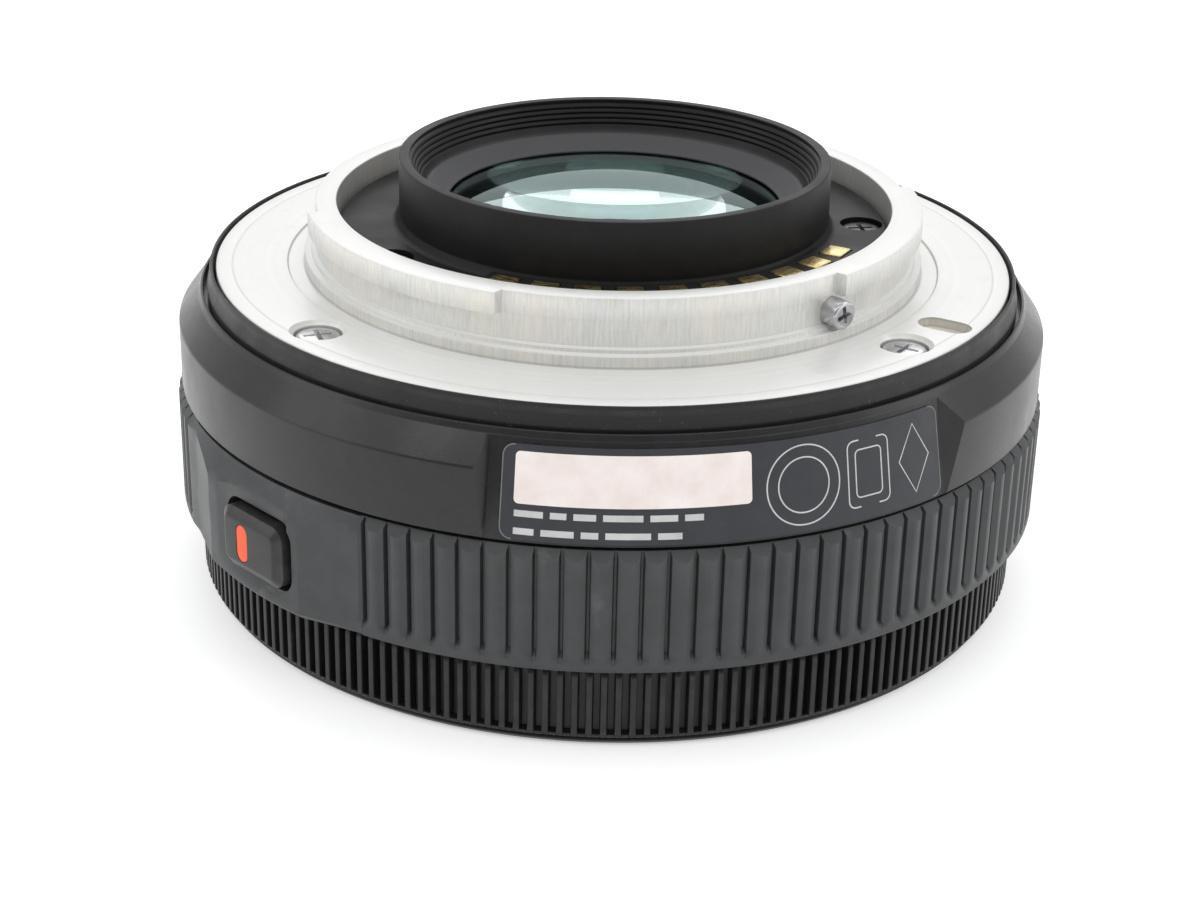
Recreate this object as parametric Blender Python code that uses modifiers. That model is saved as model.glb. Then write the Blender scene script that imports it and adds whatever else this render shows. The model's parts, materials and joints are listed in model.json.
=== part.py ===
"""Autofocus pancake prime lens, standing on its front rim with the bayonet mount up.

Frame: +Z is the optical axis and points to the camera side, Z = 0 is the front rim.
Angles are in degrees from +X, counter-clockwise seen from the camera side.
Profiles and places are written in millimetres and turned into metres by MM.
"""
import math

import bmesh
import bpy
from mathutils import Matrix, Vector

MM = 0.001

# Driving dimensions in mm.
BODY_RADIUS = 31.0
FLANGE_Z = 23.0
FLANGE_RADIUS = 28.0
FLANGE_THICKNESS = 1.7
BAYONET_RADIUS = 21.0
BAYONET_BORE = 19.5
BAYONET_TOP = 27.3
CLAW_RADIUS = 21.7
CLAW_Z = 25.8
CLAW_SPAN = 56.5
CLAW_STARTS = (-166.0, -46.5, 74.0)
BAFFLE_RADIUS = 15.15
BAFFLE_TOP = 30.3
BARREL_RADIUS = 30.7
BARREL_LOW = 14.75
BARREL_TOP = 21.6
SHOULDER_Z = 19.35
CHAMFER_RADIUS = 29.3
APERTURE_LOW = 6.1
APERTURE_HIGH = 14.45
FOCUS_RADIUS = 29.75
FOCUS_LOW = 0.65
FOCUS_HIGH = 5.8
FILTER_RADIUS = 19.5
CELL_HOLE = 12.4

# Fasteners of the mount and of the rear baffle.
MOUNT_SCREW_RADIUS = 25.2
MOUNT_SCREW_ANGLES = (-139.2, -41.0, 41.0, 139.2)
BAFFLE_SCREW_RADIUS = 17.55
BAFFLE_SCREW_ANGLES = (0.0, 106.0, -148.0)
STOP_PIN_ANGLE = -47.7
STOP_PIN_Z = 24.8
LOCK_SLOT_ANGLE = -30.6

# Lock button on the boss of the aperture ring.
BUTTON_ANGLE = -136.3
BUTTON_Z = 10.0
BUTTON_WIDTH = 6.8
BUTTON_HEIGHT = 4.6
BUTTON_FACE = 32.2
BUTTON_TRAVEL = 0.8
BOSS_RADIUS = 31.6
BOSS_FACE = (-147.4, -128.8)
BOSS_SPAN = (-156.0, -120.5)
BOSS_CHAMFER_Z = 12.8
CLICK_COUNT = 17
CLICK_PITCH = 3.6
CLICK_ANGLE = 60.0
CLICK_Z = 12.2

# Recess and plate of the label on the rear barrel: a straight cone across the shoulder.
LABEL_HIGH = (29.2, 21.9)
LABEL_LOW = (30.6, 14.7)
RECESS_SPAN = (-104.3, -45.3)
LABEL_SPAN = (-102.6, -46.0)
LABEL_RANGE = (14.95, 20.85)

# Focus drive: three rollers in straight slots and helical grooves.
ROLLER_Z = 13.0
ROLLER_RADIUS = 0.9
ROLLER_ANGLES = (30.0, 150.0, 270.0)
FOCUS_TRAVEL = 2.7
CAM_TURN = 45.0
GEAR_MODULE = 0.32
CAM_TEETH = 124
IDLER_TEETH = 16
PINION_TEETH = 9
MOTOR_ANGLE = 90.0
MOTOR_PLACE = 22.9
GEAR_LOW = 14.5
GEAR_HIGH = 15.9

# Iris: seven blades, each on its own level between the drive ring and the base plate.
BLADE_COUNT = 7
BLADE_PIVOT = 13.2
BLADE_THICKNESS = 0.12
BLADE_LEVEL = 12.8
BLADE_PITCH = 0.26
BLADE_PIN_ARM = 1.6
BLADE_TURN = 20.0
IRIS_TURN = 14.0

RING_STEPS = 40
CELL_STEPS = 28
LENS_STEPS = 20

# Finish: colour, roughness, metallic, transmission.
FINISHES = {
    "mount_metal": ((0.78, 0.78, 0.76), 0.30, 1.0, 0.0),
    "screw_steel": ((0.70, 0.70, 0.69), 0.22, 1.0, 0.0),
    "seal_rubber": ((0.020, 0.020, 0.021), 0.55, 0.0, 0.0),
    "barrel_black": ((0.018, 0.018, 0.019), 0.33, 0.0, 0.0),
    "ring_grey": ((0.055, 0.057, 0.056), 0.45, 0.0, 0.0),
    "ring_black": ((0.022, 0.022, 0.023), 0.42, 0.0, 0.0),
    "baffle_black": ((0.014, 0.014, 0.014), 0.60, 0.0, 0.0),
    "label_grey": ((0.060, 0.062, 0.066), 0.40, 0.0, 0.0),
    "button_black": ((0.030, 0.030, 0.031), 0.36, 0.0, 0.0),
    "mark_orange": ((0.80, 0.12, 0.03), 0.45, 0.0, 0.0),
    "mark_red": ((0.62, 0.03, 0.03), 0.40, 0.0, 0.0),
    "contact_gold": ((0.83, 0.60, 0.26), 0.28, 1.0, 0.0),
    "optical_glass": ((0.90, 0.97, 0.95), 0.02, 0.0, 1.0),
    "chassis_black": ((0.030, 0.030, 0.032), 0.50, 0.0, 0.0),
    "cam_metal": ((0.33, 0.34, 0.35), 0.38, 1.0, 0.0),
    "gear_plastic": ((0.72, 0.71, 0.66), 0.50, 0.0, 0.0),
    "motor_steel": ((0.58, 0.58, 0.57), 0.35, 1.0, 0.0),
    "spring_steel": ((0.55, 0.54, 0.50), 0.30, 1.0, 0.0),
    "blade_black": ((0.020, 0.020, 0.020), 0.45, 0.0, 0.0),
    "board_green": ((0.035, 0.13, 0.06), 0.45, 0.0, 0.0),
}
SMOOTH_ANGLE = math.radians(35)


def clear_scene():
    """Remove every object that the file holds."""
    for obj in list(bpy.data.objects):
        bpy.data.objects.remove(obj, do_unlink=True)


def collection(name):
    """A new collection under the scene's own one."""
    group = bpy.data.collections.new(name)
    bpy.context.scene.collection.children.link(group)
    return group


clear_scene()
PARTS = collection("pancake_prime_lens")
CUTTERS = collection("pancake_prime_lens_cutters")


def finish_material(name, finish):
    """The Principled material of one piece."""
    colour, roughness, metallic, transmission = FINISHES[finish]
    material = bpy.data.materials.new(name + "_" + finish)
    material.use_nodes = True
    shader = material.node_tree.nodes["Principled BSDF"]
    shader.inputs["Base Color"].default_value = (*colour, 1.0)
    shader.inputs["Roughness"].default_value = roughness
    shader.inputs["Metallic"].default_value = metallic
    shader.inputs["Transmission Weight"].default_value = transmission
    material.diffuse_color = (*colour, 1.0)
    return material


def polar(radius, angle, z=0.0):
    """The point in mm at a radius and an angle in degrees."""
    turn = math.radians(angle)
    return Vector((radius * math.cos(turn), radius * math.sin(turn), z))


def arc(radius, first, last, count):
    """Evenly spaced points (x, y) on an arc about the axis."""
    angles = [first + (last - first) * i / (count - 1) for i in range(count)]
    return [tuple(polar(radius, a)[:2]) for a in angles]


def add(name, mesh, finish=None):
    """Put a mesh in the scene: a part when it has a finish, else a cutter or a guide."""
    obj = bpy.data.objects.new(name, mesh)
    if finish:
        PARTS.objects.link(obj)
        mesh.materials.append(finish_material(name, finish))
    else:
        CUTTERS.objects.link(obj)
        obj.hide_render = True
        obj.display_type = "WIRE"
    return obj


def evaluated_mesh(obj):
    """The mesh of an object as its modifiers or its curve shape it, welded."""
    bpy.context.view_layer.update()
    depsgraph = bpy.context.evaluated_depsgraph_get()
    mesh = bpy.data.meshes.new_from_object(obj.evaluated_get(depsgraph))
    model = bmesh.new()
    model.from_mesh(mesh)
    bmesh.ops.remove_doubles(model, verts=model.verts, dist=1e-7)
    model.to_mesh(mesh)
    model.free()
    return mesh


def smooth(mesh):
    """Shade round faces smooth and keep the edges between flat ones sharp."""
    mesh.shade_smooth()
    mesh.set_sharp_from_angle(angle=SMOOTH_ANGLE)
    return mesh


def settle(name, source, finish, shift=(0.0, 0.0, 0.0)):
    """Turn a modelling aid into the final welded mesh object and remove the aid."""
    mesh = evaluated_mesh(source)
    bpy.data.objects.remove(source, do_unlink=True)
    mesh.materials.clear()
    mesh.transform(Matrix.Translation(Vector(shift) * MM))
    mesh.name = name
    return add(name, smooth(mesh), finish)


def turned(name, profile, finish=None, steps=RING_STEPS):
    """A solid of revolution; the profile (radius, z) runs down its outer side."""
    mesh = bpy.data.meshes.new(name)
    points = [(r * MM, 0.0, z * MM) for r, z in profile]
    edges = [(i, i + 1) for i in range(len(points) - 1)]
    if profile[0][0] > 0 or profile[-1][0] > 0:
        edges.append((len(points) - 1, 0))
    mesh.from_pydata(points, edges, [])
    source = add(name + "_profile", mesh)
    screw = source.modifiers.new("turn", "SCREW")
    screw.axis = "Z"
    screw.angle = math.tau
    screw.steps = steps
    screw.render_steps = steps
    screw.use_merge_vertices = True
    screw.merge_threshold = 1e-7
    return settle(name, source, finish)


def prism(name, outlines, low, high, finish=None):
    """A flat outline, with holes if it has further outlines, between two heights."""
    curve = bpy.data.curves.new(name, "CURVE")
    curve.dimensions = "2D"
    curve.fill_mode = "BOTH"
    curve.extrude = (high - low) / 2 * MM
    for outline in outlines:
        spline = curve.splines.new("POLY")
        spline.points.add(len(outline) - 1)
        for point, (x, y) in zip(spline.points, outline):
            point.co = (x * MM, y * MM, 0.0, 1.0)
        spline.use_cyclic_u = True
    source = bpy.data.objects.new(name + "_outline", curve)
    CUTTERS.objects.link(source)
    return settle(name, source, finish, (0.0, 0.0, (low + high) / 2))


def swept(name, profile, first, last, steps, finish=None):
    """A closed profile (radius, z) swept about the axis from one angle to another."""
    model = bmesh.new()
    corners = [model.verts.new(polar(r, first, z) * MM) for r, z in profile]
    face = model.faces.new(corners)
    bmesh.ops.spin(
        model,
        geom=[face, *face.edges, *face.verts],
        axis=(0.0, 0.0, 1.0),
        cent=(0.0, 0.0, 0.0),
        steps=steps,
        angle=math.radians(last - first),
    )
    bmesh.ops.remove_doubles(model, verts=model.verts, dist=1e-7)
    bmesh.ops.recalc_face_normals(model, faces=model.faces)
    mesh = bpy.data.meshes.new(name)
    model.to_mesh(mesh)
    model.free()
    return add(name, smooth(mesh), finish)


def rod(name, radius, start, end, finish=None, sides=16, end_radius=None):
    """A round bar, or a cone, between two points in mm."""
    start = Vector(start)
    end = Vector(end)
    along = end - start
    model = bmesh.new()
    bmesh.ops.create_cone(
        model,
        cap_ends=True,
        segments=sides,
        radius1=radius * MM,
        radius2=(radius if end_radius is None else end_radius) * MM,
        depth=along.length * MM,
    )
    place = Matrix.Translation((start + end) / 2 * MM)
    model.transform(place @ along.to_track_quat("Z", "Y").to_matrix().to_4x4())
    mesh = bpy.data.meshes.new(name)
    model.to_mesh(mesh)
    model.free()
    return add(name, smooth(mesh), finish)


def block(name, size, centre, turn=0.0, finish=None, bevel=0.0):
    """A box with its size and centre in mm, turned about the vertical."""
    model = bmesh.new()
    bmesh.ops.create_cube(model, size=MM)
    model.transform(Matrix.Diagonal((*size, 1.0)))
    mesh = bpy.data.meshes.new(name)
    model.to_mesh(mesh)
    model.free()
    obj = add(name, mesh, finish)
    if bevel:
        rounding = obj.modifiers.new("round edges", "BEVEL")
        rounding.width = bevel * MM
        rounding.segments = 2
    obj.location = Vector(centre) * MM
    obj.rotation_euler.z = math.radians(turn)
    return obj


def boolean(target, operand, operation):
    """Cut or join a part with an operand from the cutters."""
    modifier = target.modifiers.new(operand.name, "BOOLEAN")
    modifier.operation = operation
    modifier.solver = "EXACT"
    modifier.object = operand


def cut(target, *operands):
    """Take the operands away from a part."""
    for operand in operands:
        boolean(target, operand, "DIFFERENCE")


def join(target, *operands):
    """Join the operands to a part as one body."""
    for operand in operands:
        boolean(target, operand, "UNION")


def stadium(length, width, sides=6):
    """Outline of a slot with round ends, along X about the origin."""
    half = (length - width) / 2
    points = []
    for centre, first in ((half, -90.0), (-half, 90.0)):
        for x, y in arc(width / 2, first, first + 180.0, sides):
            points.append((centre + x, y))
    return points


def placed(outline, radius, angle, turn=None):
    """An outline moved to a radius and an angle, its X axis turned to the given angle."""
    centre = polar(radius, angle)
    spin = Matrix.Rotation(math.radians(angle if turn is None else turn), 2)
    return [tuple(centre.xy + spin @ Vector(point)) for point in outline]


def axis_empty(name, location=(0.0, 0.0, 0.0)):
    """An empty that marks a joint's axis, with the pieces of one body under it."""
    empty = bpy.data.objects.new(name, None)
    empty.empty_display_size = 0.005
    empty.location = Vector(location) * MM
    PARTS.objects.link(empty)
    return empty


def ride(empty, *pieces):
    """Parent pieces to a joint's empty, and put their origins on its axis."""
    offset = Matrix.Translation(-empty.location)
    for piece in pieces:
        if piece.location.length == 0:
            piece.data.transform(offset)
        else:
            piece.location -= empty.location
        piece.parent = empty


# ---------------------------------------------------------------- mount side, fixed

def mount_bayonet():
    """Metal mount: flange, collar and tube, with three claws and its screw pockets."""
    profile = [
        (BAYONET_RADIUS, BAYONET_TOP), (BAYONET_RADIUS, 23.75), (21.8, 23.75), (21.8, FLANGE_Z),
        (FLANGE_RADIUS, FLANGE_Z), (FLANGE_RADIUS, FLANGE_Z - FLANGE_THICKNESS),
        (BAYONET_BORE, FLANGE_Z - FLANGE_THICKNESS), (BAYONET_BORE, BAYONET_TOP),
    ]
    mount = turned("mount_bayonet", profile, "mount_metal")
    claw = [(20.4, BAYONET_TOP), (20.4, CLAW_Z), (CLAW_RADIUS, CLAW_Z), (CLAW_RADIUS, BAYONET_TOP)]
    for i, start in enumerate(CLAW_STARTS):
        join(mount, swept("claw_%d" % (i + 1), claw, start, start + CLAW_SPAN, 8))
    for i, angle in enumerate(MOUNT_SCREW_ANGLES):
        top = polar(MOUNT_SCREW_RADIUS, angle, FLANGE_Z + 1)
        bottom = polar(MOUNT_SCREW_RADIUS, angle, FLANGE_Z - 3)
        floor = polar(MOUNT_SCREW_RADIUS, angle, FLANGE_Z - 0.85)
        cut(mount, rod("mount_pocket_%d" % (i + 1), 1.75, floor, top, sides=16))
        cut(mount, rod("mount_hole_%d" % (i + 1), 0.9, bottom, top, sides=10))
    slot = placed(stadium(3.7, 2.2), 25.6, LOCK_SLOT_ANGLE)
    cut(mount, prism("lock_slot", [slot], FLANGE_Z - 1.1, FLANGE_Z + 1))
    cut(mount, rod("pin_pocket", 1.15, polar(21.05, STOP_PIN_ANGLE, STOP_PIN_Z),
                   polar(24.0, STOP_PIN_ANGLE, STOP_PIN_Z), sides=12))
    cut(mount, rod("pin_hole", 0.8, polar(18.5, STOP_PIN_ANGLE, STOP_PIN_Z),
                   polar(22.0, STOP_PIN_ANGLE, STOP_PIN_Z), sides=10))


def mount_fasteners():
    """Four countersunk mount screws and the radial stop pin below a claw's end."""
    head = FLANGE_Z - 0.3
    profile = [(0.0, head), (1.2, head), (1.5, head - 0.2), (1.5, head - 0.4), (0.7, head - 0.45),
               (0.7, 18.2), (0.0, 18.2)]
    for i, angle in enumerate(MOUNT_SCREW_ANGLES):
        screw = turned("mount_screw_%d" % (i + 1), profile, "screw_steel", 12)
        screw.data.transform(Matrix.Translation(polar(MOUNT_SCREW_RADIUS, angle) * MM))
    pin = rod("mount_stop_pin", 1.0, polar(21.2, STOP_PIN_ANGLE, STOP_PIN_Z),
              polar(22.3, STOP_PIN_ANGLE, STOP_PIN_Z), "screw_steel", sides=14)
    join(pin, rod("stop_pin_shank", 0.62, polar(19.75, STOP_PIN_ANGLE, STOP_PIN_Z),
                  polar(21.6, STOP_PIN_ANGLE, STOP_PIN_Z), sides=10))


def seal_and_shim():
    """Rubber dust seal around the flange, and the thin ring that sets the flange height."""
    turned("mount_seal", [
        (28.4, 23.1), (28.5, 22.7), (28.65, 21.8), (28.65, 21.05), (28.2, 21.05), (28.2, 23.1),
    ], "seal_rubber")
    shim = turned("mount_shim", [(27.2, 21.15), (27.2, 20.95), (23.4, 20.95), (23.4, 21.15)],
                  "screw_steel", CELL_STEPS)
    for i, angle in enumerate(MOUNT_SCREW_ANGLES):
        cut(shim, rod("shim_hole_%d" % (i + 1), 1.0, polar(MOUNT_SCREW_RADIUS, angle, 20.0),
                      polar(MOUNT_SCREW_RADIUS, angle, 22.0), sides=10))


def label_radius(z, inset=0.0):
    """Radius of the label recess at a height, moved inwards by an inset."""
    (high_r, high_z), (low_r, low_z) = LABEL_HIGH, LABEL_LOW
    return low_r + (high_r - low_r) * (z - low_z) / (high_z - low_z) - inset


def rear_barrel():
    """Fixed rear shell: skirt, chamfer, seat for the mount, screw posts, label recess."""
    profile = [
        (29.05, BARREL_TOP), (CHAMFER_RADIUS, BARREL_TOP - 0.25), (CHAMFER_RADIUS, 21.1),
        (BARREL_RADIUS, SHOULDER_Z), (BARREL_RADIUS, BARREL_LOW), (29.7, BARREL_LOW),
        (29.7, 18.9), (28.6, 19.3), (20.0, 19.3), (20.0, 20.8), (28.95, 20.8), (28.95, BARREL_TOP),
    ]
    barrel = turned("rear_barrel", profile, "barrel_black")
    for i, angle in enumerate(MOUNT_SCREW_ANGLES):
        place = MOUNT_SCREW_RADIUS
        join(barrel, rod("post_%d" % (i + 1), 1.5, polar(place, angle, 17.9),
                         polar(place, angle, 20.0), sides=12))
        cut(barrel, rod("post_hole_%d" % (i + 1), 0.85, polar(place, angle, 17.0),
                        polar(place, angle, 22.0), sides=10))
    recess = [(label_radius(21.1), 21.1), (label_radius(14.5), 14.5), (33.0, 14.5), (33.0, 21.1)]
    cut(barrel, swept("label_recess", recess, *RECESS_SPAN, 10))
    low, high = LABEL_RANGE
    plate = [(label_radius(z, inset), z) for z, inset in
             ((high, -0.35), (high, -0.1), (low, -0.1), (low, -0.35))]
    swept("label_plate", plate, *LABEL_SPAN, 12, "label_grey")


def index_dot():
    """Red bead for aligning the mount, set in the chamfer on the far side."""
    slope = math.atan2(BARREL_RADIUS - CHAMFER_RADIUS, 21.1 - SHOULDER_Z)
    normal = polar(math.cos(slope), 50.0, math.sin(slope))
    centre = polar((BARREL_RADIUS + CHAMFER_RADIUS) / 2, 50.0, (21.1 + SHOULDER_Z) / 2)
    cut(bpy.data.objects["rear_barrel"],
        rod("dot_pocket", 0.95, centre - normal * 0.55, centre + normal, sides=16))
    rod("index_dot", 0.75, centre - normal * 0.4, centre + normal * 0.12, "mark_red", 16, 0.6)


def rear_baffle():
    """Rear light baffle: a ridged funnel on a plate with three screw bosses."""
    profile = [
        (BAFFLE_RADIUS, BAFFLE_TOP), (BAFFLE_RADIUS, 25.6), (19.25, 25.6), (19.25, 25.0),
        (14.5, 25.0), (14.5, 26.95), (11.75, 26.95), (11.75, 27.12), (13.1, 28.0), (13.65, 28.25),
        (14.3, BAFFLE_TOP),
    ]
    baffle = turned("rear_baffle", profile, "baffle_black", 32)
    for i, angle in enumerate(BAFFLE_SCREW_ANGLES):
        place = BAFFLE_SCREW_RADIUS
        join(baffle, rod("boss_%d" % (i + 1), 1.75, polar(place, angle, 23.2),
                         polar(place, angle, 25.3), sides=14))
        cut(baffle, rod("baffle_pocket_%d" % (i + 1), 1.45, polar(place, angle, 24.1),
                        polar(place, angle, 26.5), sides=14))
        cut(baffle, rod("baffle_hole_%d" % (i + 1), 0.6, polar(place, angle, 22.5),
                        polar(place, angle, 26.5), sides=8))
        profile = [(0.0, 24.85), (0.9, 24.85), (1.25, 24.6), (1.25, 24.3), (0.45, 24.25), (0.45, 22.4),
                   (0.0, 22.4)]
        screw = turned("baffle_screw_%d" % (i + 1), profile, "chassis_black", 12)
        screw.data.transform(Matrix.Translation(polar(place, angle) * MM))


CONTACT_COUNT = 10
CONTACT_FIRST = -28.8
CONTACT_PITCH = -9.55
CONTACT_RADIUS = 17.1


def contact_group():
    """Contact holder with ten windows, the gold strip with ten pads, and its flex."""
    holder = swept("contact_block", [(15.75, 26.3), (15.75, 25.72), (18.95, 25.72), (18.95, 26.3)],
                   -119.8, -23.6, 16, "chassis_black")
    cut(holder, swept("strip_channel", [(16.05, 26.02), (16.05, 25.0), (18.15, 25.0), (18.15, 26.02)],
                      -118.7, -24.8, 16))
    strip = swept("contact_pads", [(16.2, 25.92), (16.2, 25.76), (18.0, 25.76), (18.0, 25.92)],
                  -118.3, -25.2, 16, "contact_gold")
    for i in range(CONTACT_COUNT):
        angle = CONTACT_FIRST + CONTACT_PITCH * i
        window = placed([(-0.87, -0.97), (0.87, -0.97), (0.87, 0.97), (-0.87, 0.97)], CONTACT_RADIUS, angle)
        pad = placed([(-0.75, -0.85), (0.75, -0.85), (0.75, 0.85), (-0.75, 0.85)], CONTACT_RADIUS, angle)
        cut(holder, prism("window_%d" % (i + 1), [window], 25.9, 27.0))
        join(strip, prism("pad_%d" % (i + 1), [pad], 25.84, 26.42))
    swept("contact_flex", [(19.0, 24.7), (19.0, 18.85), (19.15, 18.85), (19.15, 24.7)], -82.0, -62.0, 4,
          "board_green")


def circuit_board():
    """Ring-shaped main board under the mount seat, with three chips."""
    board = turned("circuit_board", [(23.5, 18.6), (23.5, 18.0), (20.5, 18.0), (20.5, 18.6)],
                   "board_green", CELL_STEPS)
    for i, angle in enumerate((-20.0, 95.0, 190.0)):
        join(board, block("chip_%d" % (i + 1), (2.2, 3.4, 0.7), polar(22.0, angle, 18.75), angle))


# ---------------------------------------------------------------- inside, fixed

def fixed_barrel():
    """Chassis: inner guide tube with straight slots, front floor and outer sleeve."""
    profile = [
        (26.6, 17.6), (26.6, 5.0), (27.6, 5.0), (27.6, 4.2), (16.6, 4.2), (16.6, 17.4), (17.6, 17.4),
        (17.6, 5.0), (25.9, 5.0), (25.9, 17.6),
    ]
    barrel = turned("fixed_barrel", profile, "chassis_black")
    low = ROLLER_Z - FOCUS_TRAVEL - 1.1
    high = ROLLER_Z + 1.1
    for i, angle in enumerate(ROLLER_ANGLES):
        cut(barrel, block("guide_slot_%d" % (i + 1), (3.0, 2.2, high - low),
                          polar(17.1, angle, (low + high) / 2), angle))


def front_pieces():
    """Front bezel with the filter thread's wall, and the plain ring around the front cell."""
    turned("front_bezel", [
        (27.4, 1.6), (27.4, 0.5), (29.2, 0.5), (29.3, 0.35), (28.95, 0.0), (19.9, 0.0),
        (FILTER_RADIUS, 0.4), (FILTER_RADIUS, 3.15), (CELL_HOLE, 3.15), (CELL_HOLE, 3.9), (21.0, 3.9),
        (21.0, 1.6),
    ], "ring_black")
    turned("name_ring", [(19.2, 3.0), (19.2, 2.3), (12.6, 2.75), (12.6, 3.0)], "barrel_black", CELL_STEPS)


def click_stop():
    """Leaf spring and ball that click into the notches of the aperture ring."""
    span = 9.0
    leaf = swept("click_spring", [(27.35, 13.2), (27.35, 11.2), (27.55, 11.2), (27.55, 13.2)],
                 CLICK_ANGLE - span, CLICK_ANGLE + span, 6, "spring_steel")
    for i, angle in enumerate((CLICK_ANGLE - span + 1, CLICK_ANGLE + span - 1)):
        foot = [(26.75, 13.0), (26.75, 11.4), (27.45, 11.4), (27.45, 13.0)]
        join(leaf, swept("spring_foot_%d" % (i + 1), foot, angle - 0.6, angle + 0.6, 1))
    model = bmesh.new()
    bmesh.ops.create_uvsphere(model, u_segments=12, v_segments=8, radius=0.5 * MM)
    model.transform(Matrix.Translation(polar(28.2, CLICK_ANGLE, CLICK_Z) * MM))
    mesh = bpy.data.meshes.new("click_ball")
    model.to_mesh(mesh)
    model.free()
    add("click_ball", smooth(mesh), "screw_steel")


def pitch_radius(teeth):
    """Pitch radius in mm of a gear with this many teeth."""
    return teeth * GEAR_MODULE / 2


def gear_outline(teeth, first=0, count=None, phase=0.0):
    """Toothed outline about the axis; a tooth is centred on the phase angle."""
    pitch = 360.0 / teeth
    radius = pitch_radius(teeth)
    points = []
    for i in range(first, first + (count or teeth)):
        for offset, r in ((-0.36, radius - 0.36), (-0.13, radius + 0.22), (0.13, radius + 0.22),
                          (0.36, radius - 0.36)):
            points.append(tuple(polar(r, phase + (i + offset) * pitch)[:2]))
    return points


def triangle_angle(side_a, side_b, opposite):
    """Angle in degrees between two sides of a triangle, from all three lengths."""
    return math.degrees(math.acos((side_a ** 2 + side_b ** 2 - opposite ** 2) / (2 * side_a * side_b)))


IDLER_PLACE = pitch_radius(CAM_TEETH) + pitch_radius(IDLER_TEETH)
IDLER_TO_PINION = pitch_radius(IDLER_TEETH) + pitch_radius(PINION_TEETH)
IDLER_ANGLE = MOTOR_ANGLE + triangle_angle(MOTOR_PLACE, IDLER_PLACE, IDLER_TO_PINION)
MOTOR_POINT = polar(MOTOR_PLACE, MOTOR_ANGLE)
IDLER_POINT = polar(IDLER_PLACE, IDLER_ANGLE)


def focus_drive():
    """Motor, its plate with the idler's post, the pinion on its shaft, and the idler."""
    motor = rod("focus_motor", 2.6, MOTOR_POINT + Vector((0, 0, 5.3)), MOTOR_POINT + Vector((0, 0, 13.2)),
                "motor_steel", 18)
    cut(motor, rod("shaft_bore", 0.6, MOTOR_POINT + Vector((0, 0, 12.3)),
                   MOTOR_POINT + Vector((0, 0, 14)), sides=10))
    plate = swept("gear_plate", [(20.6, 14.1), (20.6, 13.45), (25.5, 13.45), (25.5, 14.1)], 80.0, 109.0, 6,
                  "motor_steel")
    cut(plate, rod("shaft_hole", 0.8, MOTOR_POINT + Vector((0, 0, 13)), MOTOR_POINT + Vector((0, 0, 15)),
                   sides=10))
    join(plate, rod("idler_post", 0.5, IDLER_POINT + Vector((0, 0, 13.8)),
                    IDLER_POINT + Vector((0, 0, 16.2)), sides=8))

    pinion = prism("motor_pinion", [gear_outline(PINION_TEETH)], GEAR_LOW, GEAR_HIGH, "cam_metal")
    shaft = rod("pinion_shaft", 0.4, (0, 0, 12.5), (0, 0, 15.0), sides=8)
    join(pinion, shaft)
    idler = prism("idler_gear", [gear_outline(IDLER_TEETH), arc(0.7, 0.0, 324.0, 10)], GEAR_LOW,
                  GEAR_HIGH, "gear_plastic")
    idler_pitch = 360.0 / IDLER_TEETH
    inward = IDLER_ANGLE + 180.0
    idler.rotation_euler.z = math.radians(inward + idler_pitch / 2)
    across = MOTOR_POINT - IDLER_POINT
    mesh_angle = math.degrees(math.atan2(across.y, across.x))
    lead = (mesh_angle - inward - idler_pitch / 2) / idler_pitch
    pinion_pitch = 360.0 / PINION_TEETH
    pinion.rotation_euler.z = math.radians(mesh_angle + 180.0 + pinion_pitch * (0.5 + lead))
    pinion_axis = axis_empty("pinion_axis", MOTOR_POINT)
    pinion.parent = pinion_axis
    shaft.parent = pinion_axis
    idler.parent = axis_empty("idler_axis", IDLER_POINT)


def cam_ring():
    """Ring with three helical grooves for the rollers and a toothed sector."""
    ring = turned("cam_ring", [(19.2, 16.2), (19.2, 8.2), (17.9, 8.2), (17.9, 16.2)], "cam_metal")
    for i, angle in enumerate(ROLLER_ANGLES):
        curve = bpy.data.curves.new("cam_groove", "CURVE")
        curve.dimensions = "3D"
        curve.bevel_depth = 1.25 * MM
        curve.bevel_resolution = 1
        curve.use_fill_caps = True
        spline = curve.splines.new("POLY")
        count = 8
        overrun = 3.5
        spline.points.add(count - 1)
        for j, point in enumerate(spline.points):
            turn = -overrun + (CAM_TURN + 2 * overrun) * j / (count - 1)
            place = polar(18.55, angle - turn, ROLLER_Z - FOCUS_TRAVEL * turn / CAM_TURN)
            point.co = (*(place * MM), 1.0)
        source = bpy.data.objects.new("cam_groove_path", curve)
        CUTTERS.objects.link(source)
        cut(ring, settle("cam_groove_%d" % (i + 1), source, None))
    pitch = 360.0 / CAM_TEETH
    span = round((CAM_TURN + 10.0) / pitch)
    first = 5 - span
    outline = gear_outline(CAM_TEETH, first, span, IDLER_ANGLE)
    ends = (IDLER_ANGLE + (first + span - 0.5) * pitch, IDLER_ANGLE + (first - 0.5) * pitch)
    outline += arc(18.6, *ends, 12)
    join(ring, prism("gear_sector", [outline], GEAR_LOW + 0.1, GEAR_HIGH - 0.1))
    ride(axis_empty("cam_ring_axis"), ring)


# ---------------------------------------------------------------- rings that turn by hand

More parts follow.
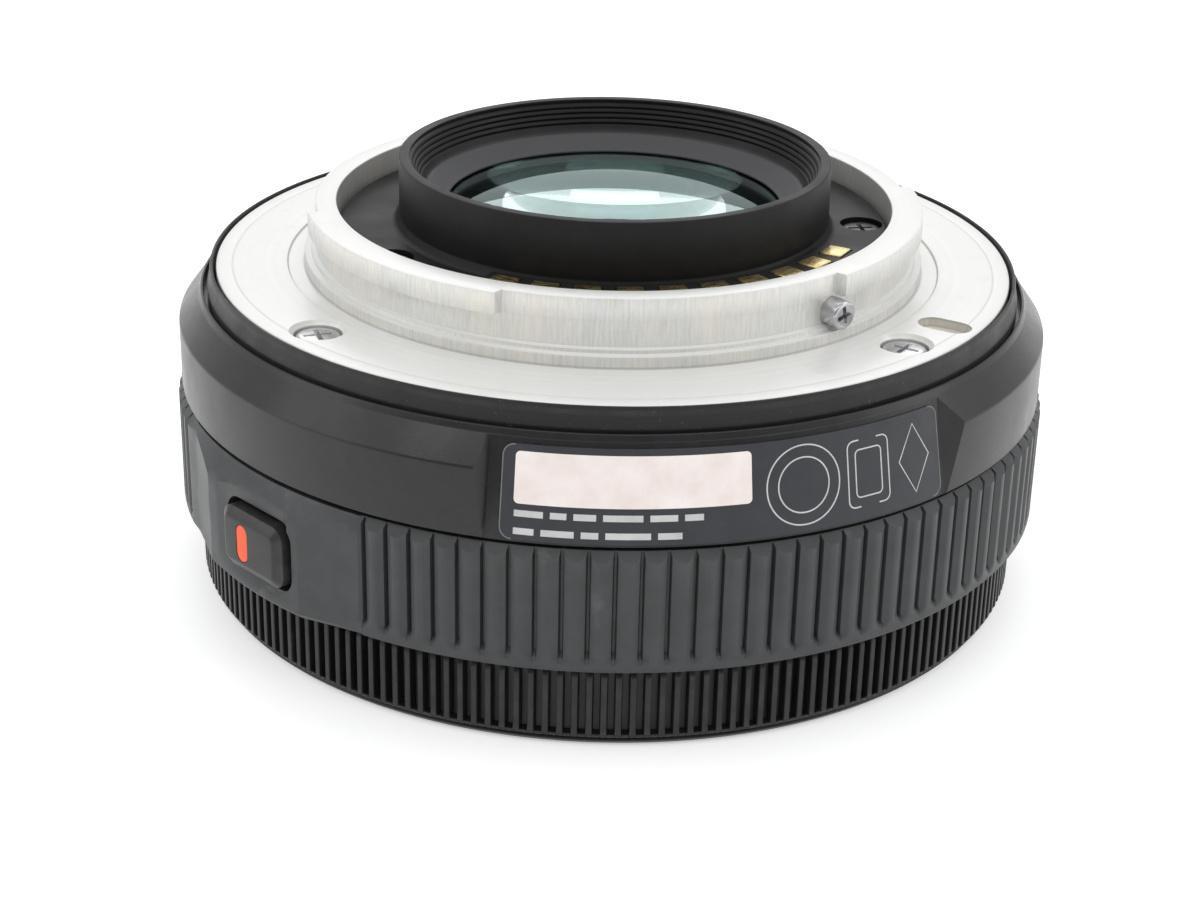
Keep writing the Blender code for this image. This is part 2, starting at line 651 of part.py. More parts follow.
def aperture_ring():
    """Aperture ring with the boss of the lock button and the click notches inside."""
    ring = turned("aperture_ring", [
        (30.5, APERTURE_HIGH), (BODY_RADIUS, 13.95), (BODY_RADIUS, 6.4), (30.7, APERTURE_LOW),
        (27.2, APERTURE_LOW), (27.2, 6.8), (28.9, 6.8), (28.9, APERTURE_HIGH),
    ], "ring_grey")
    low, high = BOSS_FACE
    outline = arc(BOSS_RADIUS, low, high, 6)
    outline += arc(30.95, BOSS_SPAN[1], BOSS_SPAN[1] - 1, 2)
    outline += arc(30.0, BOSS_SPAN[1] - 1, BOSS_SPAN[0] + 1, 8)
    outline += arc(30.95, BOSS_SPAN[0] + 1, BOSS_SPAN[0], 2)
    join(ring, prism("boss", [outline], APERTURE_LOW + 0.3, 14.2))
    slope = [(BOSS_RADIUS + 0.01, BOSS_CHAMFER_Z), (33.5, BOSS_CHAMFER_Z), (33.5, 15.0), (30.4, 15.0)]
    cut(ring, swept("boss_chamfer", slope, BOSS_SPAN[0] - 1, BOSS_SPAN[1] + 1, 6))
    cut(ring, block("button_pocket", (5.5, BUTTON_WIDTH + 0.4, BUTTON_HEIGHT + 0.4),
                    polar(30.6, BUTTON_ANGLE, BUTTON_Z), BUTTON_ANGLE))
    for i in range(CLICK_COUNT):
        angle = CLICK_ANGLE - CLICK_PITCH * i
        cut(ring, rod("click_notch_%d" % (i + 1), 0.42, polar(28.9, angle, CLICK_Z - 1.2),
                      polar(28.9, angle, CLICK_Z + 1.2), sides=6))
    spring = swept("lock_spring", [(27.05, 11.2), (27.05, 8.8), (27.2, 8.8), (27.2, 11.2)],
                   BUTTON_ANGLE - 8, BUTTON_ANGLE + 8, 4, "spring_steel")
    ride(axis_empty("aperture_ring_axis"), ring, spring)


def lock_button():
    """Push button with its retaining flange, and the bar that marks it."""
    face_turn = BUTTON_ANGLE
    depth = BUTTON_FACE - 28.4
    button = block("lock_button", (depth, BUTTON_WIDTH, BUTTON_HEIGHT), (0, 0, 0), 0.0, "button_black", 0.5)
    flange = block("button_flange", (0.4, 7.8, 5.8), polar(28.3, face_turn, BUTTON_Z), face_turn)
    empty = axis_empty("lock_button_axis", polar(BUTTON_FACE, face_turn, BUTTON_Z))
    empty.rotation_euler.z = math.radians(face_turn)
    button.location = Vector((-depth / 2, 0, 0)) * MM
    button.parent = empty
    join(button, flange)
    bar = placed(stadium(2.6, 0.95, 5), 0.0, 0.0)
    seat = prism("mark_seat", [placed(stadium(2.8, 1.15, 5), 0.0, 0.0)], -0.35, 1.0)
    mark = prism("lock_mark", [bar], -0.25, 0.03, "mark_orange")
    upright = Matrix.Rotation(math.radians(90), 4, "Y")
    for piece in (seat, mark):
        piece.data.transform(upright)
        piece.data.transform(Matrix.Translation((0, -0.6 * MM, -0.35 * MM)))
        piece.parent = empty
    cut(button, seat)


def focus_ring():
    """Focus ring, and the slotted encoder ring fixed inside it."""
    ring = turned("focus_ring", [
        (29.45, FOCUS_HIGH), (FOCUS_RADIUS, 5.5), (FOCUS_RADIUS, 0.95), (29.45, FOCUS_LOW),
        (27.9, FOCUS_LOW), (27.9, FOCUS_HIGH),
    ], "ring_black")
    slots = 24
    pitch = 360.0 / slots
    comb = []
    for i in range(slots):
        for offset, r in ((-0.25, 27.1), (-0.25, 26.6), (0.25, 26.6), (0.25, 27.1)):
            comb.append(tuple(polar(r, (i + offset) * pitch)[:2]))
    encoder = prism("encoder_ring", [arc(27.65, 0.0, 351.0, 40), comb], 1.85, 3.9, "chassis_black")
    ride(axis_empty("focus_ring_axis"), ring, encoder)
    block("focus_sensor", (2.0, 3.0, 1.8), polar(25.0, 200.0, 2.85), 200.0, "chassis_black", 0.2)


# ---------------------------------------------------------------- optics and iris

def sag(curvature_radius, r):
    """Height of a spherical surface over its vertex at a distance from the axis."""
    radius = abs(curvature_radius)
    return math.copysign(radius - math.sqrt(radius ** 2 - r ** 2), curvature_radius)


def lens(name, edge, front, rear, steps=LENS_STEPS, rings=3):
    """A lens element; front and rear are (vertex z, radius), positive when the rim is higher."""
    radii = [edge * i / rings for i in range(rings + 1)]
    back = [(r, rear[0] + sag(rear[1], r)) for r in radii]
    face = [(r, front[0] + sag(front[1], r)) for r in reversed(radii)]
    return turned(name, back + face, "optical_glass", steps)


def lens_cells():
    """Rear cell, front cell, seven elements in five groups, retainer and guide rollers."""
    rear_cell = turned("rear_cell", [
        (14.2, 26.75), (14.2, 21.3), (16.2, 20.2), (16.2, 12.1), (15.5, 12.1), (15.5, 18.6), (8.3, 18.6),
        (8.3, 15.25), (7.35, 15.25), (7.35, 19.05), (6.6, 19.05), (6.6, 19.3), (9.75, 19.3),
        (9.75, 21.6), (13.15, 21.6), (13.15, 26.6), (12.85, 26.6), (12.85, 26.75),
    ], "chassis_black", CELL_STEPS)
    front_cell = turned("front_cell", [
        (15.3, 11.95), (15.3, 10.9), (12.0, 10.9), (12.0, 3.4), (11.4, 3.4), (8.6, 4.9), (8.6, 6.0),
        (7.55, 6.0), (7.55, 7.45), (7.05, 7.45), (7.05, 11.95),
    ], "chassis_black", CELL_STEPS)
    retainer = turned("front_retainer", [(8.4, 5.85), (8.4, 5.3), (7.6, 5.0), (6.9, 5.55), (6.9, 5.85)],
                      "baffle_black", CELL_STEPS)
    elements = [
        lens("lens_element_1", 7.4, (4.5, 16.0), (6.6, 40.0)),
        lens("lens_element_2", 6.9, (7.2, 18.0), (9.2, 60.0)),
        lens("lens_element_3", 6.9, (9.3, 60.0), (9.9, 14.0)),
        lens("lens_element_4", 7.2, (16.3, -30.0), (17.0, 25.0)),
        lens("lens_element_5", 7.2, (17.1, 25.0), (19.9, -22.0)),
        lens("lens_element_6", 9.6, (20.2, -60.0), (22.6, -30.0)),
        lens("lens_element_7", 13.0, (23.4, -60.0), (28.4, -45.0), CELL_STEPS),
    ]
    rollers = []
    for i, angle in enumerate(ROLLER_ANGLES):
        rollers.append(rod("guide_roller_%d" % (i + 1), ROLLER_RADIUS, polar(16.35, angle, ROLLER_Z),
                           polar(18.9, angle, ROLLER_Z), "cam_metal", 12))
    return [rear_cell, front_cell, retainer, *elements, *rollers]


def blade_outline():
    """Plan of one blade, with its pivot on the X axis and its drive lug beside it."""
    points = arc(5.7, 116.0, 14.0, 9)
    points += [tuple(polar(8.8, 3.0)[:2]), tuple(polar(11.6, -2.5)[:2])]
    points += [(BLADE_PIVOT + x, y) for x, y in arc(0.95, -110.0, 10.0, 6)]
    points += [(BLADE_PIVOT + x, BLADE_PIN_ARM + y) for x, y in arc(0.6, 0.0, 135.0, 5)]
    points += arc(11.6, 13.0, 110.0, 9)
    points += [tuple(polar(10.6, 115.5)[:2]), tuple(polar(8.0, 118.5)[:2])]
    return points


def iris():
    """Base plate with pivot pins, slotted drive ring, seven blades, and the stepper."""
    base = turned("iris_base", [(15.3, 15.1), (15.3, 14.65), (5.4, 14.65), (5.4, 15.1)], "chassis_black",
                  CELL_STEPS)
    ring = turned("iris_ring", [(15.2, 12.6), (15.2, 12.2), (5.8, 12.2), (5.8, 12.6)], "blade_black",
                  CELL_STEPS)
    step = 360.0 / BLADE_COUNT
    rest = Vector((BLADE_PIVOT, BLADE_PIN_ARM))
    turn = Matrix.Rotation(math.radians(BLADE_TURN), 2)
    pivot = Vector((BLADE_PIVOT, 0.0))
    closed = Matrix.Rotation(math.radians(-IRIS_TURN), 2) @ (pivot + turn @ (rest - pivot))
    middle = (rest + closed) / 2
    along = rest - closed
    slot = stadium(along.length + 1.1, 1.1, 5)
    slot_turn = math.degrees(math.atan2(along.y, along.x))
    place = math.degrees(math.atan2(middle.y, middle.x))
    for i in range(BLADE_COUNT):
        angle = step * i
        number = i + 1
        level = BLADE_LEVEL + BLADE_PITCH * i
        join(base, rod("pivot_pin_%d" % number, 0.32, polar(BLADE_PIVOT, angle, 12.8),
                       polar(BLADE_PIVOT, angle, 14.9), sides=8))
        outline = placed(slot, middle.length, place + angle, slot_turn + angle)
        cut(ring, prism("drive_slot_%d" % number, [outline], 12.0, 12.8))
        hole = [(BLADE_PIVOT + x, y) for x, y in arc(0.5, 0.0, 324.0, 10)]
        blade = prism("iris_blade_%d" % number, [blade_outline(), hole], level, level + BLADE_THICKNESS,
                      "blade_black")
        pin = rod("drive_pin_%d" % number, 0.25, (BLADE_PIVOT, BLADE_PIN_ARM, 12.25),
                  (BLADE_PIVOT, BLADE_PIN_ARM, level + BLADE_THICKNESS / 2), sides=6)
        for mesh in (blade.data, pin.data):
            mesh.transform(Matrix.Translation((-BLADE_PIVOT * MM, 0, 0)))
        empty = axis_empty("blade_axis_%d" % number, polar(BLADE_PIVOT, angle))
        empty.rotation_euler.z = math.radians(angle)
        blade.parent = empty
        pin.parent = empty
        join(blade, pin)
    motor_centre = polar(11.9, 205.0)
    motor = rod("iris_motor", 2.6, motor_centre + Vector((0, 0, 15.3)), motor_centre + Vector((0, 0, 18.4)),
                "motor_steel", 16)
    ride(axis_empty("iris_ring_axis"), ring)
    return [base, motor]


def build_lens():
    """Make every piece, from the mount down to the front rim."""
    mount_bayonet()
    mount_fasteners()
    seal_and_shim()
    rear_barrel()
    index_dot()
    rear_baffle()
    contact_group()
    circuit_board()
    fixed_barrel()
    front_pieces()
    click_stop()
    aperture_ring()
    lock_button()
    focus_ring()
    cam_ring()
    focus_drive()
    carriage = lens_cells() + iris()
    ride(axis_empty("focus_carriage_axis"), *carriage)


build_lens()
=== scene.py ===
"""Looks of the pancake prime lens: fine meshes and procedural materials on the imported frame."""
import json
import math

import bmesh
import bpy
from mathutils import Matrix, Vector


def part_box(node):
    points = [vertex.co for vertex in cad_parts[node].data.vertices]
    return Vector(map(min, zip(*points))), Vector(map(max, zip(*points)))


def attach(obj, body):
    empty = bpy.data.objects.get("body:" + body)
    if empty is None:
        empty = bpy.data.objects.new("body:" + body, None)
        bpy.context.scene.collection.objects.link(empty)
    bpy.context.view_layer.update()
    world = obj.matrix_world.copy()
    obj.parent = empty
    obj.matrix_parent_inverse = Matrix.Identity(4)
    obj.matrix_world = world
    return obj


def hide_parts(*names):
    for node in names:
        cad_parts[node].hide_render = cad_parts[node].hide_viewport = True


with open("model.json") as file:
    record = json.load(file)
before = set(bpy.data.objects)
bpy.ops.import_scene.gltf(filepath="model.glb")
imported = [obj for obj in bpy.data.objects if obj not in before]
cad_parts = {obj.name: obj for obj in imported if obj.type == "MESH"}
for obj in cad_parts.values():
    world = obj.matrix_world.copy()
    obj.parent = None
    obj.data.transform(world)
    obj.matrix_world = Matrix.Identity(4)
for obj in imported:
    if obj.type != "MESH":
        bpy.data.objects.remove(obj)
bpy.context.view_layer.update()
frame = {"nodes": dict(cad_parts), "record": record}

MM = 0.001
STEPS = 360
SHARP = math.radians(32)


# --- sizes from the frame, in mm

def reach(node):
    """Largest radius, lowest and highest height of a node, in mm."""
    low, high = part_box(node)
    return max(-low[0], high[0]) / MM, low[2] / MM, high[2] / MM


FOCUS_R, FOCUS_LOW, FOCUS_HIGH = reach("focus_ring")
BODY_R = FOCUS_R + 1.25
APERTURE_LOW, APERTURE_HIGH = reach("aperture_ring")[1:]
BARREL_R, BARREL_LOW, BARREL_TOP = reach("rear_barrel")
FLANGE_R, FLANGE_LOW, BAYONET_TOP = reach("mount_bayonet")
SEAL_R, SEAL_LOW, SEAL_TOP = reach("mount_seal")
BAFFLE_TOP = reach("rear_baffle")[2]
FLANGE_Z = 23.0
SHOULDER_Z = 19.35
CHAMFER_Z = 21.1
CHAMFER_R = 29.3
BORE_R = 19.5
NECK_R = 21.0
CLAW_R = 21.7
CLAW_Z = 25.8
CLAW_SPAN = 56.5
CLAW_STARTS = (-166.0, -46.5, 74.0)
BUTTON_ANGLE = -136.3
BUTTON_Z = 10.0
BOSS_FACE = (-147.4, -128.8)
BOSS_SPAN = (-156.0, -120.5)
BOSS_R = 31.6
BOSS_CHAMFER_Z = 12.8
BOSS_FLAT = 31.22
BOSS_STEP = -130.4
RIB_PITCH = 3.077
RIB_FIRST = -119.8
RIB_CHAMFER_Z = 13.85
# Share of a rib's pitch from the middle of a groove, and how deep the wall lies there.
RIB_SHAPE = (
    (0.0, 0.62), (0.045, 0.62), (0.085, 0.32), (0.10, 0.25), (0.33, 0.02), (0.35, 0.0), (0.5, 0.0),
)
FOCUS_RIBS = 200
# Height, and how deep the crown of a focus rib and the groove beside it lie there.
FOCUS_WALL = (
    (FOCUS_HIGH, 0.50, 0.80), (5.62, 0.40, 0.78), (5.45, 0.22, 0.72), (5.25, 0.05, 0.70),
    (5.1, 0.0, 0.68), (3.0, 0.0, 0.68), (1.35, 0.0, 0.68), (1.12, 0.0, 0.60),
    (1.02, 0.02, 0.30), (0.98, 0.12, 0.14), (0.82, 0.14, 0.14), (FOCUS_LOW, 0.34, 0.34),
)
RECESS = (-104.3, -45.3)
RECESS_RAMPS = (1.25, 2.7)
RECESS_LOW = 14.4
RECESS_TOP = 21.2
LABEL = (-102.6, -46.0)
LABEL_RANGE = (14.95, 20.85)
LABEL_HIGH = (29.2, 21.9)
LABEL_LOW = (30.6, 14.7)
DEGREE_MM = math.radians(1.0) * 30.0
STROKE_HEIGHT = 0.012
# Height of each row of label bars, and the bars' lengths in degrees.
BAR_ROWS = ((16.6, (3.4, 1.9, 2.6, 4.6, 3.2, 2.2)), (15.5, (2.4, 3.8, 2.0, 5.2, 2.8)))
# Name, middle, half width in degrees, half height, corner radius and corner steps of a label mark.
LABEL_MARKS = (
    ("label_ring_outer", (-66.6, 17.9), 4.75, 2.48, 2.44, 14),
    ("label_ring_inner", (-66.6, 17.9), 3.3, 1.72, 1.70, 12),
    ("label_square", (-57.6, 17.9), 3.0, 2.1, 0.45, 4),
    ("label_square_inner", (-57.6, 17.9), 1.9, 1.5, 0.3, 4),
)
MOUNT_SCREW_R = 25.2
MOUNT_SCREW_ANGLES = (-139.2, -41.0, 41.0, 139.2)
BAFFLE_SCREW_R = 17.55
BAFFLE_SCREW_ANGLES = (0.0, 106.0, -148.0)
PIN_ANGLE = -47.7
PIN_Z = 24.8
SLOT_ANGLE = -30.6
SLOT_R = 25.6
CONTACTS = 10
CONTACT_FIRST = -28.8
CONTACT_PITCH = -9.55
CONTACT_R = 17.1
HOLDER_SPAN = (-119.8, -23.6)
BEAD_ANGLE = 50.0
INDEX_SPAN = (107.5, 108.5)
# Number, edge radius, and the vertex height and curvature radius of the front and of the rear.
ELEMENTS = (
    (1, 7.4, (4.5, 16.0), (6.6, 40.0)),
    (2, 6.9, (7.2, 18.0), (9.2, 60.0)),
    (3, 6.9, (9.3, 60.0), (9.9, 14.0)),
    (4, 7.2, (16.3, -30.0), (17.0, 25.0)),
    (5, 7.2, (17.1, 25.0), (19.9, -22.0)),
    (6, 9.6, (20.2, -60.0), (22.6, -30.0)),
    (7, 13.0, (23.1, 42.0), (28.4, -45.0)),
)


# --- materials

class Nodes:
    """A small helper that adds and wires the nodes of one material."""

    def __init__(self, name, base, roughness, metallic=0.0, specular=0.5):
        self.material = bpy.data.materials.new(name)
        self.material.use_nodes = True
        self.tree = self.material.node_tree
        self.shader = self.tree.nodes["Principled BSDF"]
        self.base = (*base, 1.0)
        self.roughness = roughness
        self.set("Base Color", self.base)
        self.set("Roughness", roughness)
        self.set("Metallic", metallic)
        self.set("Specular IOR Level", specular)
        self.bump = None
        self.where = self.add("ShaderNodeTexCoord").outputs["Object"]

    def set(self, socket, value):
        """Set a constant on the shader's own socket."""
        self.shader.inputs[socket].default_value = value

    def add(self, kind, **inputs):
        """Add a node and set or link its inputs by name."""
        node = self.tree.nodes.new(kind)
        for name, value in inputs.items():
            self.feed(node.inputs[name.replace("_", " ")], value)
        return node

    def feed(self, socket, value):
        """Link an output, or set a constant."""
        if isinstance(value, bpy.types.NodeSocket):
            self.tree.links.new(value, socket)
        else:
            socket.default_value = value

    def math(self, operation, first, second=0.0):
        """A math node's result."""
        node = self.tree.nodes.new("ShaderNodeMath")
        node.operation = operation
        self.feed(node.inputs[0], first)
        self.feed(node.inputs[1], second)
        return node.outputs[0]

    def times(self, first, second):
        """The product of two values."""
        return self.math("MULTIPLY", first, second)

    def noise(self, scale, detail=3.0, rough=0.55, where=None):
        """Noise from 0 to 1 in object space; scale is in waves per metre."""
        node = self.add("ShaderNodeTexNoise", Vector=where or self.where, Scale=scale, Detail=detail,
                        Roughness=rough)
        return node.outputs["Fac"]

    def ramp(self, value, low, high, out_low, out_high):
        """Map a value from one range to another."""
        node = self.tree.nodes.new("ShaderNodeMapRange")
        self.feed(node.inputs["Value"], value)
        limits = {"From Min": low, "From Max": high, "To Min": out_low, "To Max": out_high}
        for name, number in limits.items():
            node.inputs[name].default_value = number
        return node.outputs["Result"]

    def polar(self):
        """Radius, angle and height of the shaded point about the optical axis."""
        parts = self.add("ShaderNodeSeparateXYZ", Vector=self.where).outputs
        squares = self.math("ADD", *(self.times(part, part) for part in (parts[0], parts[1])))
        return self.math("SQRT", squares), self.math("ARCTAN2", parts[1], parts[0]), parts[2]

    def vector(self, x, y, z=0.0):
        """A vector from three values."""
        return self.add("ShaderNodeCombineXYZ", X=x, Y=y, Z=z).outputs[0]

    def rough(self, value, spread, low=0.3, high=0.7):
        """Vary the roughness by a value around its middle."""
        result = self.ramp(value, low, high, self.roughness - spread, self.roughness + spread)
        self.feed(self.shader.inputs["Roughness"], result)

    def relief(self, height, depth):
        """Add a bump of a height field; the depth is in metres."""
        node = self.tree.nodes.new("ShaderNodeBump")
        node.inputs["Distance"].default_value = depth
        self.feed(node.inputs["Height"], height)
        if self.bump:
            self.tree.links.new(self.bump, node.inputs["Normal"])
        self.bump = node.outputs["Normal"]
        self.feed(self.shader.inputs["Normal"], self.bump)

    def blend_colour(self, mask, colour):
        """Mix the base colour with another one by a mask."""
        node = self.tree.nodes.new("ShaderNodeMix")
        node.data_type = "RGBA"
        self.feed(node.inputs["Factor"], mask)
        base = self.shader.inputs["Base Color"]
        if base.is_linked:
            self.tree.links.new(base.links[0].from_socket, node.inputs["A"])
        else:
            node.inputs["A"].default_value = self.base
        node.inputs["B"].default_value = (*colour, 1.0)
        self.feed(base, node.outputs["Result"])

    def blend_line(self, position, line, where, colour):
        """Blend in a thin line: its place and half width in metres, and its strength."""
        place, half, strength = line
        away = self.math("ABSOLUTE", self.math("SUBTRACT", position, place))
        drawn = self.ramp(away, 0.3 * half, half, strength, 0.0)
        self.blend_colour(self.times(drawn, where), colour)

    def edge_wear(self, colour):
        """Lighten convex edges unevenly."""
        pointed = self.tree.nodes.new("ShaderNodeNewGeometry").outputs["Pointiness"]
        mask = self.ramp(pointed, 0.53, 0.60, 0.0, 0.6)
        patchy = self.ramp(self.noise(900.0), 0.42, 0.62, 0.15, 1.0)
        self.blend_colour(self.times(mask, patchy), colour)


def painted(name, base, roughness, specular, grain, depth, wear=None):
    """Painted or moulded surface with fine grain, faint smears and worn edges."""
    nodes = Nodes(name, base, roughness, 0.0, specular)
    nodes.rough(nodes.noise(260.0, 4.0), 0.05)
    nodes.relief(nodes.noise(grain, 2.0), depth)
    light = tuple(min(1.0, c * 1.5 + 0.004) for c in base)
    nodes.blend_colour(nodes.ramp(nodes.noise(600.0, 5.0), 0.35, 0.75, 0.0, 0.5), light)
    if wear:
        nodes.edge_wear(wear)
    return nodes.material


def turned_metal(name, base, roughness, line, depth, aniso):
    """Turned metal: fine rings about the axis and faint scratches."""
    nodes = Nodes(name, base, roughness, 1.0)
    radius, _, height = nodes.polar()
    rings = nodes.noise(line, 4.0, 0.7, nodes.vector(nodes.math("ADD", radius, height), 0.0))
    nodes.relief(rings, depth)
    nodes.rough(rings, 0.09, 0.35, 0.65)
    scratch = nodes.noise(700.0, 6.0, 0.8)
    nodes.relief(nodes.ramp(scratch, 0.60, 0.64, 0.0, 1.0), 1.2e-6)
    nodes.set("Anisotropic", aniso)
    tangent = nodes.tree.nodes.new("ShaderNodeTangent")
    tangent.direction_type = "RADIAL"
    tangent.axis = "Z"
    nodes.feed(nodes.shader.inputs["Tangent"], tangent.outputs[0])
    return nodes.material


def satin_mount():
    """Satin turned mount: fine rings and painted light on its flat faces, fine upright streaks on its
    walls, painted shade lines at its steps.
    """
    base = (0.76, 0.76, 0.74)
    nodes = Nodes("mount_metal", base, 0.38, 0.50)
    radius, angle, height = nodes.polar()
    normal = nodes.tree.nodes.new("ShaderNodeNewGeometry").outputs["True Normal"]
    upward = nodes.add("ShaderNodeSeparateXYZ", Vector=normal).outputs[2]
    flat = nodes.ramp(nodes.math("ABSOLUTE", upward), 0.5, 0.8, 0.0, 1.0)
    wall = nodes.math("SUBTRACT", 1.0, flat)
    nodes.feed(nodes.shader.inputs["Metallic"], nodes.ramp(flat, 0.0, 1.0, 0.5, 0.25))
    # Painted light: faces that lie flat are blended lighter than the upright walls, as if they caught more
    # light.
    nodes.blend_colour(nodes.times(flat, 0.8), (0.86, 0.86, 0.84))
    rings = nodes.noise(22000.0, 4.0, 0.7, nodes.vector(nodes.math("ADD", radius, height), 0.0))
    nodes.relief(rings, 1.2e-6)
    along = nodes.vector(nodes.times(angle, 70.0), nodes.times(height, 260.0))
    fine = nodes.noise(1.6, 5.0, 0.8, along)
    wide = nodes.noise(1.0, 3.0, 0.6, nodes.vector(nodes.times(angle, 7.0),
                                                   nodes.times(height, 90.0)))
    streak = nodes.times(nodes.ramp(fine, 0.42, 0.68, 0.0, 0.62), wall)
    nodes.blend_colour(streak, (0.52, 0.51, 0.48))
    warm = nodes.times(nodes.ramp(wide, 0.40, 0.70, 0.0, 0.45), wall)
    nodes.blend_colour(warm, (0.90, 0.84, 0.72))
    nodes.relief(nodes.times(fine, wall), 5e-6)
    bands = nodes.noise(2400.0, 2.0, 0.5, nodes.vector(radius, 0.0))
    banded = nodes.times(nodes.ramp(bands, 0.40, 0.66, 0.0, 0.16), flat)
    nodes.blend_colour(banded, (0.70, 0.71, 0.71))
    # Painted shade: thin dark lines in the corners of the steps, by radius on the flat faces and by height
    # on the walls.
    for line in ((0.02185, 0.00012, 0.55), (0.02303, 0.00008, 0.35), (0.02685, 0.00009, 0.30)):
        nodes.blend_line(radius, line, flat, (0.40, 0.39, 0.37))
    for line in ((0.0240, 0.00010, 0.45), (0.02292, 0.00010, 0.5)):
        nodes.blend_line(height, line, wall, (0.40, 0.39, 0.36))
    soil = nodes.ramp(nodes.noise(420.0, 6.0, 0.7), 0.56, 0.74, 0.0, 0.14)
    nodes.blend_colour(soil, (0.55, 0.53, 0.49))
    mixed = nodes.math("ADD", nodes.times(rings, 0.4), nodes.times(fine, 0.6))
    nodes.rough(mixed, 0.07, 0.35, 0.65)
    hair = nodes.noise(1.0, 2.0, 0.5, nodes.vector(nodes.times(radius, 9000.0),
                                                   nodes.times(angle, 3.0)))
    nodes.relief(nodes.ramp(hair, 0.66, 0.70, 0.0, 1.0), 8e-7)
    return nodes.material


def rubber(name, base):
    """Soft black rubber with dust-fine grain and a slight sheen."""
    nodes = Nodes(name, base, 0.50, 0.0, 0.40)
    nodes.rough(nodes.noise(500.0, 4.0), 0.10)
    nodes.relief(nodes.noise(14000.0, 3.0), 8e-6)
    dust = nodes.ramp(nodes.noise(3200.0, 2.0, 0.8), 0.66, 0.74, 0.0, 0.35)
    nodes.blend_colour(dust, (0.16, 0.16, 0.16))
    nodes.set("Sheen Weight", 0.08)
    nodes.set("Sheen Roughness", 0.5)
    return nodes.material


def coated_glass(name, tint, film, index, mirror=0.0, body=(1.0, 1.0, 1.0)):
    """Optical glass with a thin anti-reflection coating that mirrors some light."""
    nodes = Nodes(name, body, 0.0, mirror)
    nodes.set("Transmission Weight", 1.0)
    nodes.set("IOR", index)
    nodes.set("Specular Tint", (*tint, 1.0))
    nodes.set("Thin Film Thickness", film)
    nodes.set("Thin Film IOR", 1.38)
    smear = nodes.noise(240.0, 4.0)
    nodes.feed(nodes.shader.inputs["Roughness"], nodes.ramp(smear, 0.45, 0.8, 0.0, 0.03))
    return nodes.material


def funnel_black():
    """Matt black plastic, with a painted reflection that lightens the cone around the glass."""
    nodes = Nodes("baffle_black", (0.006, 0.006, 0.006), 0.50, 0.0, 0.30)
    radius, angle, height = nodes.polar()
    nodes.rough(nodes.noise(260.0, 4.0), 0.05)
    nodes.relief(nodes.noise(9000.0, 2.0), 5e-6)
    nodes.blend_colour(nodes.ramp(nodes.noise(600.0, 5.0), 0.35, 0.75, 0.0, 0.5), (0.013, 0.013, 0.013))
    # Painted reflection: the cone round the glass is blended lighter, as if it mirrored bright light.
    cone = nodes.ramp(radius, 0.0131, 0.0134, 1.0, 0.0)
    high = nodes.ramp(height, 0.0268, 0.0270, 0.0, 1.0)
    nodes.blend_colour(nodes.times(cone, high), (0.075, 0.075, 0.078))
    return nodes.material


def contact_gold():
    """Gold plating with wiping marks along the pads."""
    nodes = Nodes("contact_gold", (0.98, 0.76, 0.36), 0.30, 1.0)
    radius, angle, height = nodes.polar()
    wipe = nodes.noise(5.0, 4.0, 0.7, nodes.vector(nodes.times(angle, 3.0),
                                                   nodes.times(radius, 900.0)))
    nodes.rough(wipe, 0.12, 0.35, 0.65)
    nodes.relief(wipe, 2e-6)
    nodes.blend_colour(nodes.ramp(wipe, 0.5, 0.7, 0.0, 0.4), (0.80, 0.55, 0.22))
    return nodes.material


# Base colour, roughness, specular level, grain in waves per metre, its depth, and worn edges.
PAINTS = {
    "barrel_black": ((0.010, 0.010, 0.011), 0.30, 0.42, 15000.0, 3e-6, (0.05, 0.05, 0.05)),
    "ring_grey": ((0.037, 0.039, 0.040), 0.42, 0.42, 12000.0, 5e-6, (0.10, 0.10, 0.10)),
    "ring_black": ((0.010, 0.010, 0.011), 0.38, 0.36, 12000.0, 4e-6, (0.05, 0.05, 0.05)),
    "label_grey": ((0.022, 0.023, 0.028), 0.30, 0.45, 7000.0, 2e-6),
    "label_white": ((0.84, 0.73, 0.69), 0.42, 0.4, 6000.0, 2e-6),
    "label_rim": ((0.16, 0.16, 0.165), 0.45, 0.4, 6000.0, 2e-6),
    "label_line": ((0.50, 0.50, 0.50), 0.5, 0.4, 6000.0, 2e-6),
    "button_black": ((0.018, 0.018, 0.019), 0.36, 0.40, 12000.0, 3e-6, (0.07, 0.07, 0.07)),
    "mark_orange": ((0.85, 0.10, 0.022), 0.42, 0.4, 5000.0, 2e-6),
    "mark_red": ((0.60, 0.02, 0.02), 0.25, 0.5, 5000.0, 1e-6),
    "mark_white": ((0.80, 0.80, 0.78), 0.45, 0.4, 6000.0, 1e-6),
    "slot_beige": ((0.62, 0.58, 0.50), 0.55, 0.3, 8000.0, 4e-6),
    "screw_black": ((0.050, 0.050, 0.052), 0.34, 0.5, 9000.0, 3e-6, (0.12, 0.12, 0.12)),
    "chassis_black": ((0.012, 0.012, 0.012), 0.48, 0.3, 7000.0, 8e-6),
    "gear_plastic": ((0.72, 0.71, 0.66), 0.48, 0.4, 5000.0, 5e-6),
    "blade_black": ((0.016, 0.016, 0.016), 0.42, 0.4, 9000.0, 2e-6),
    "board_green": ((0.03, 0.13, 0.06), 0.40, 0.45, 4000.0, 5e-6),
}
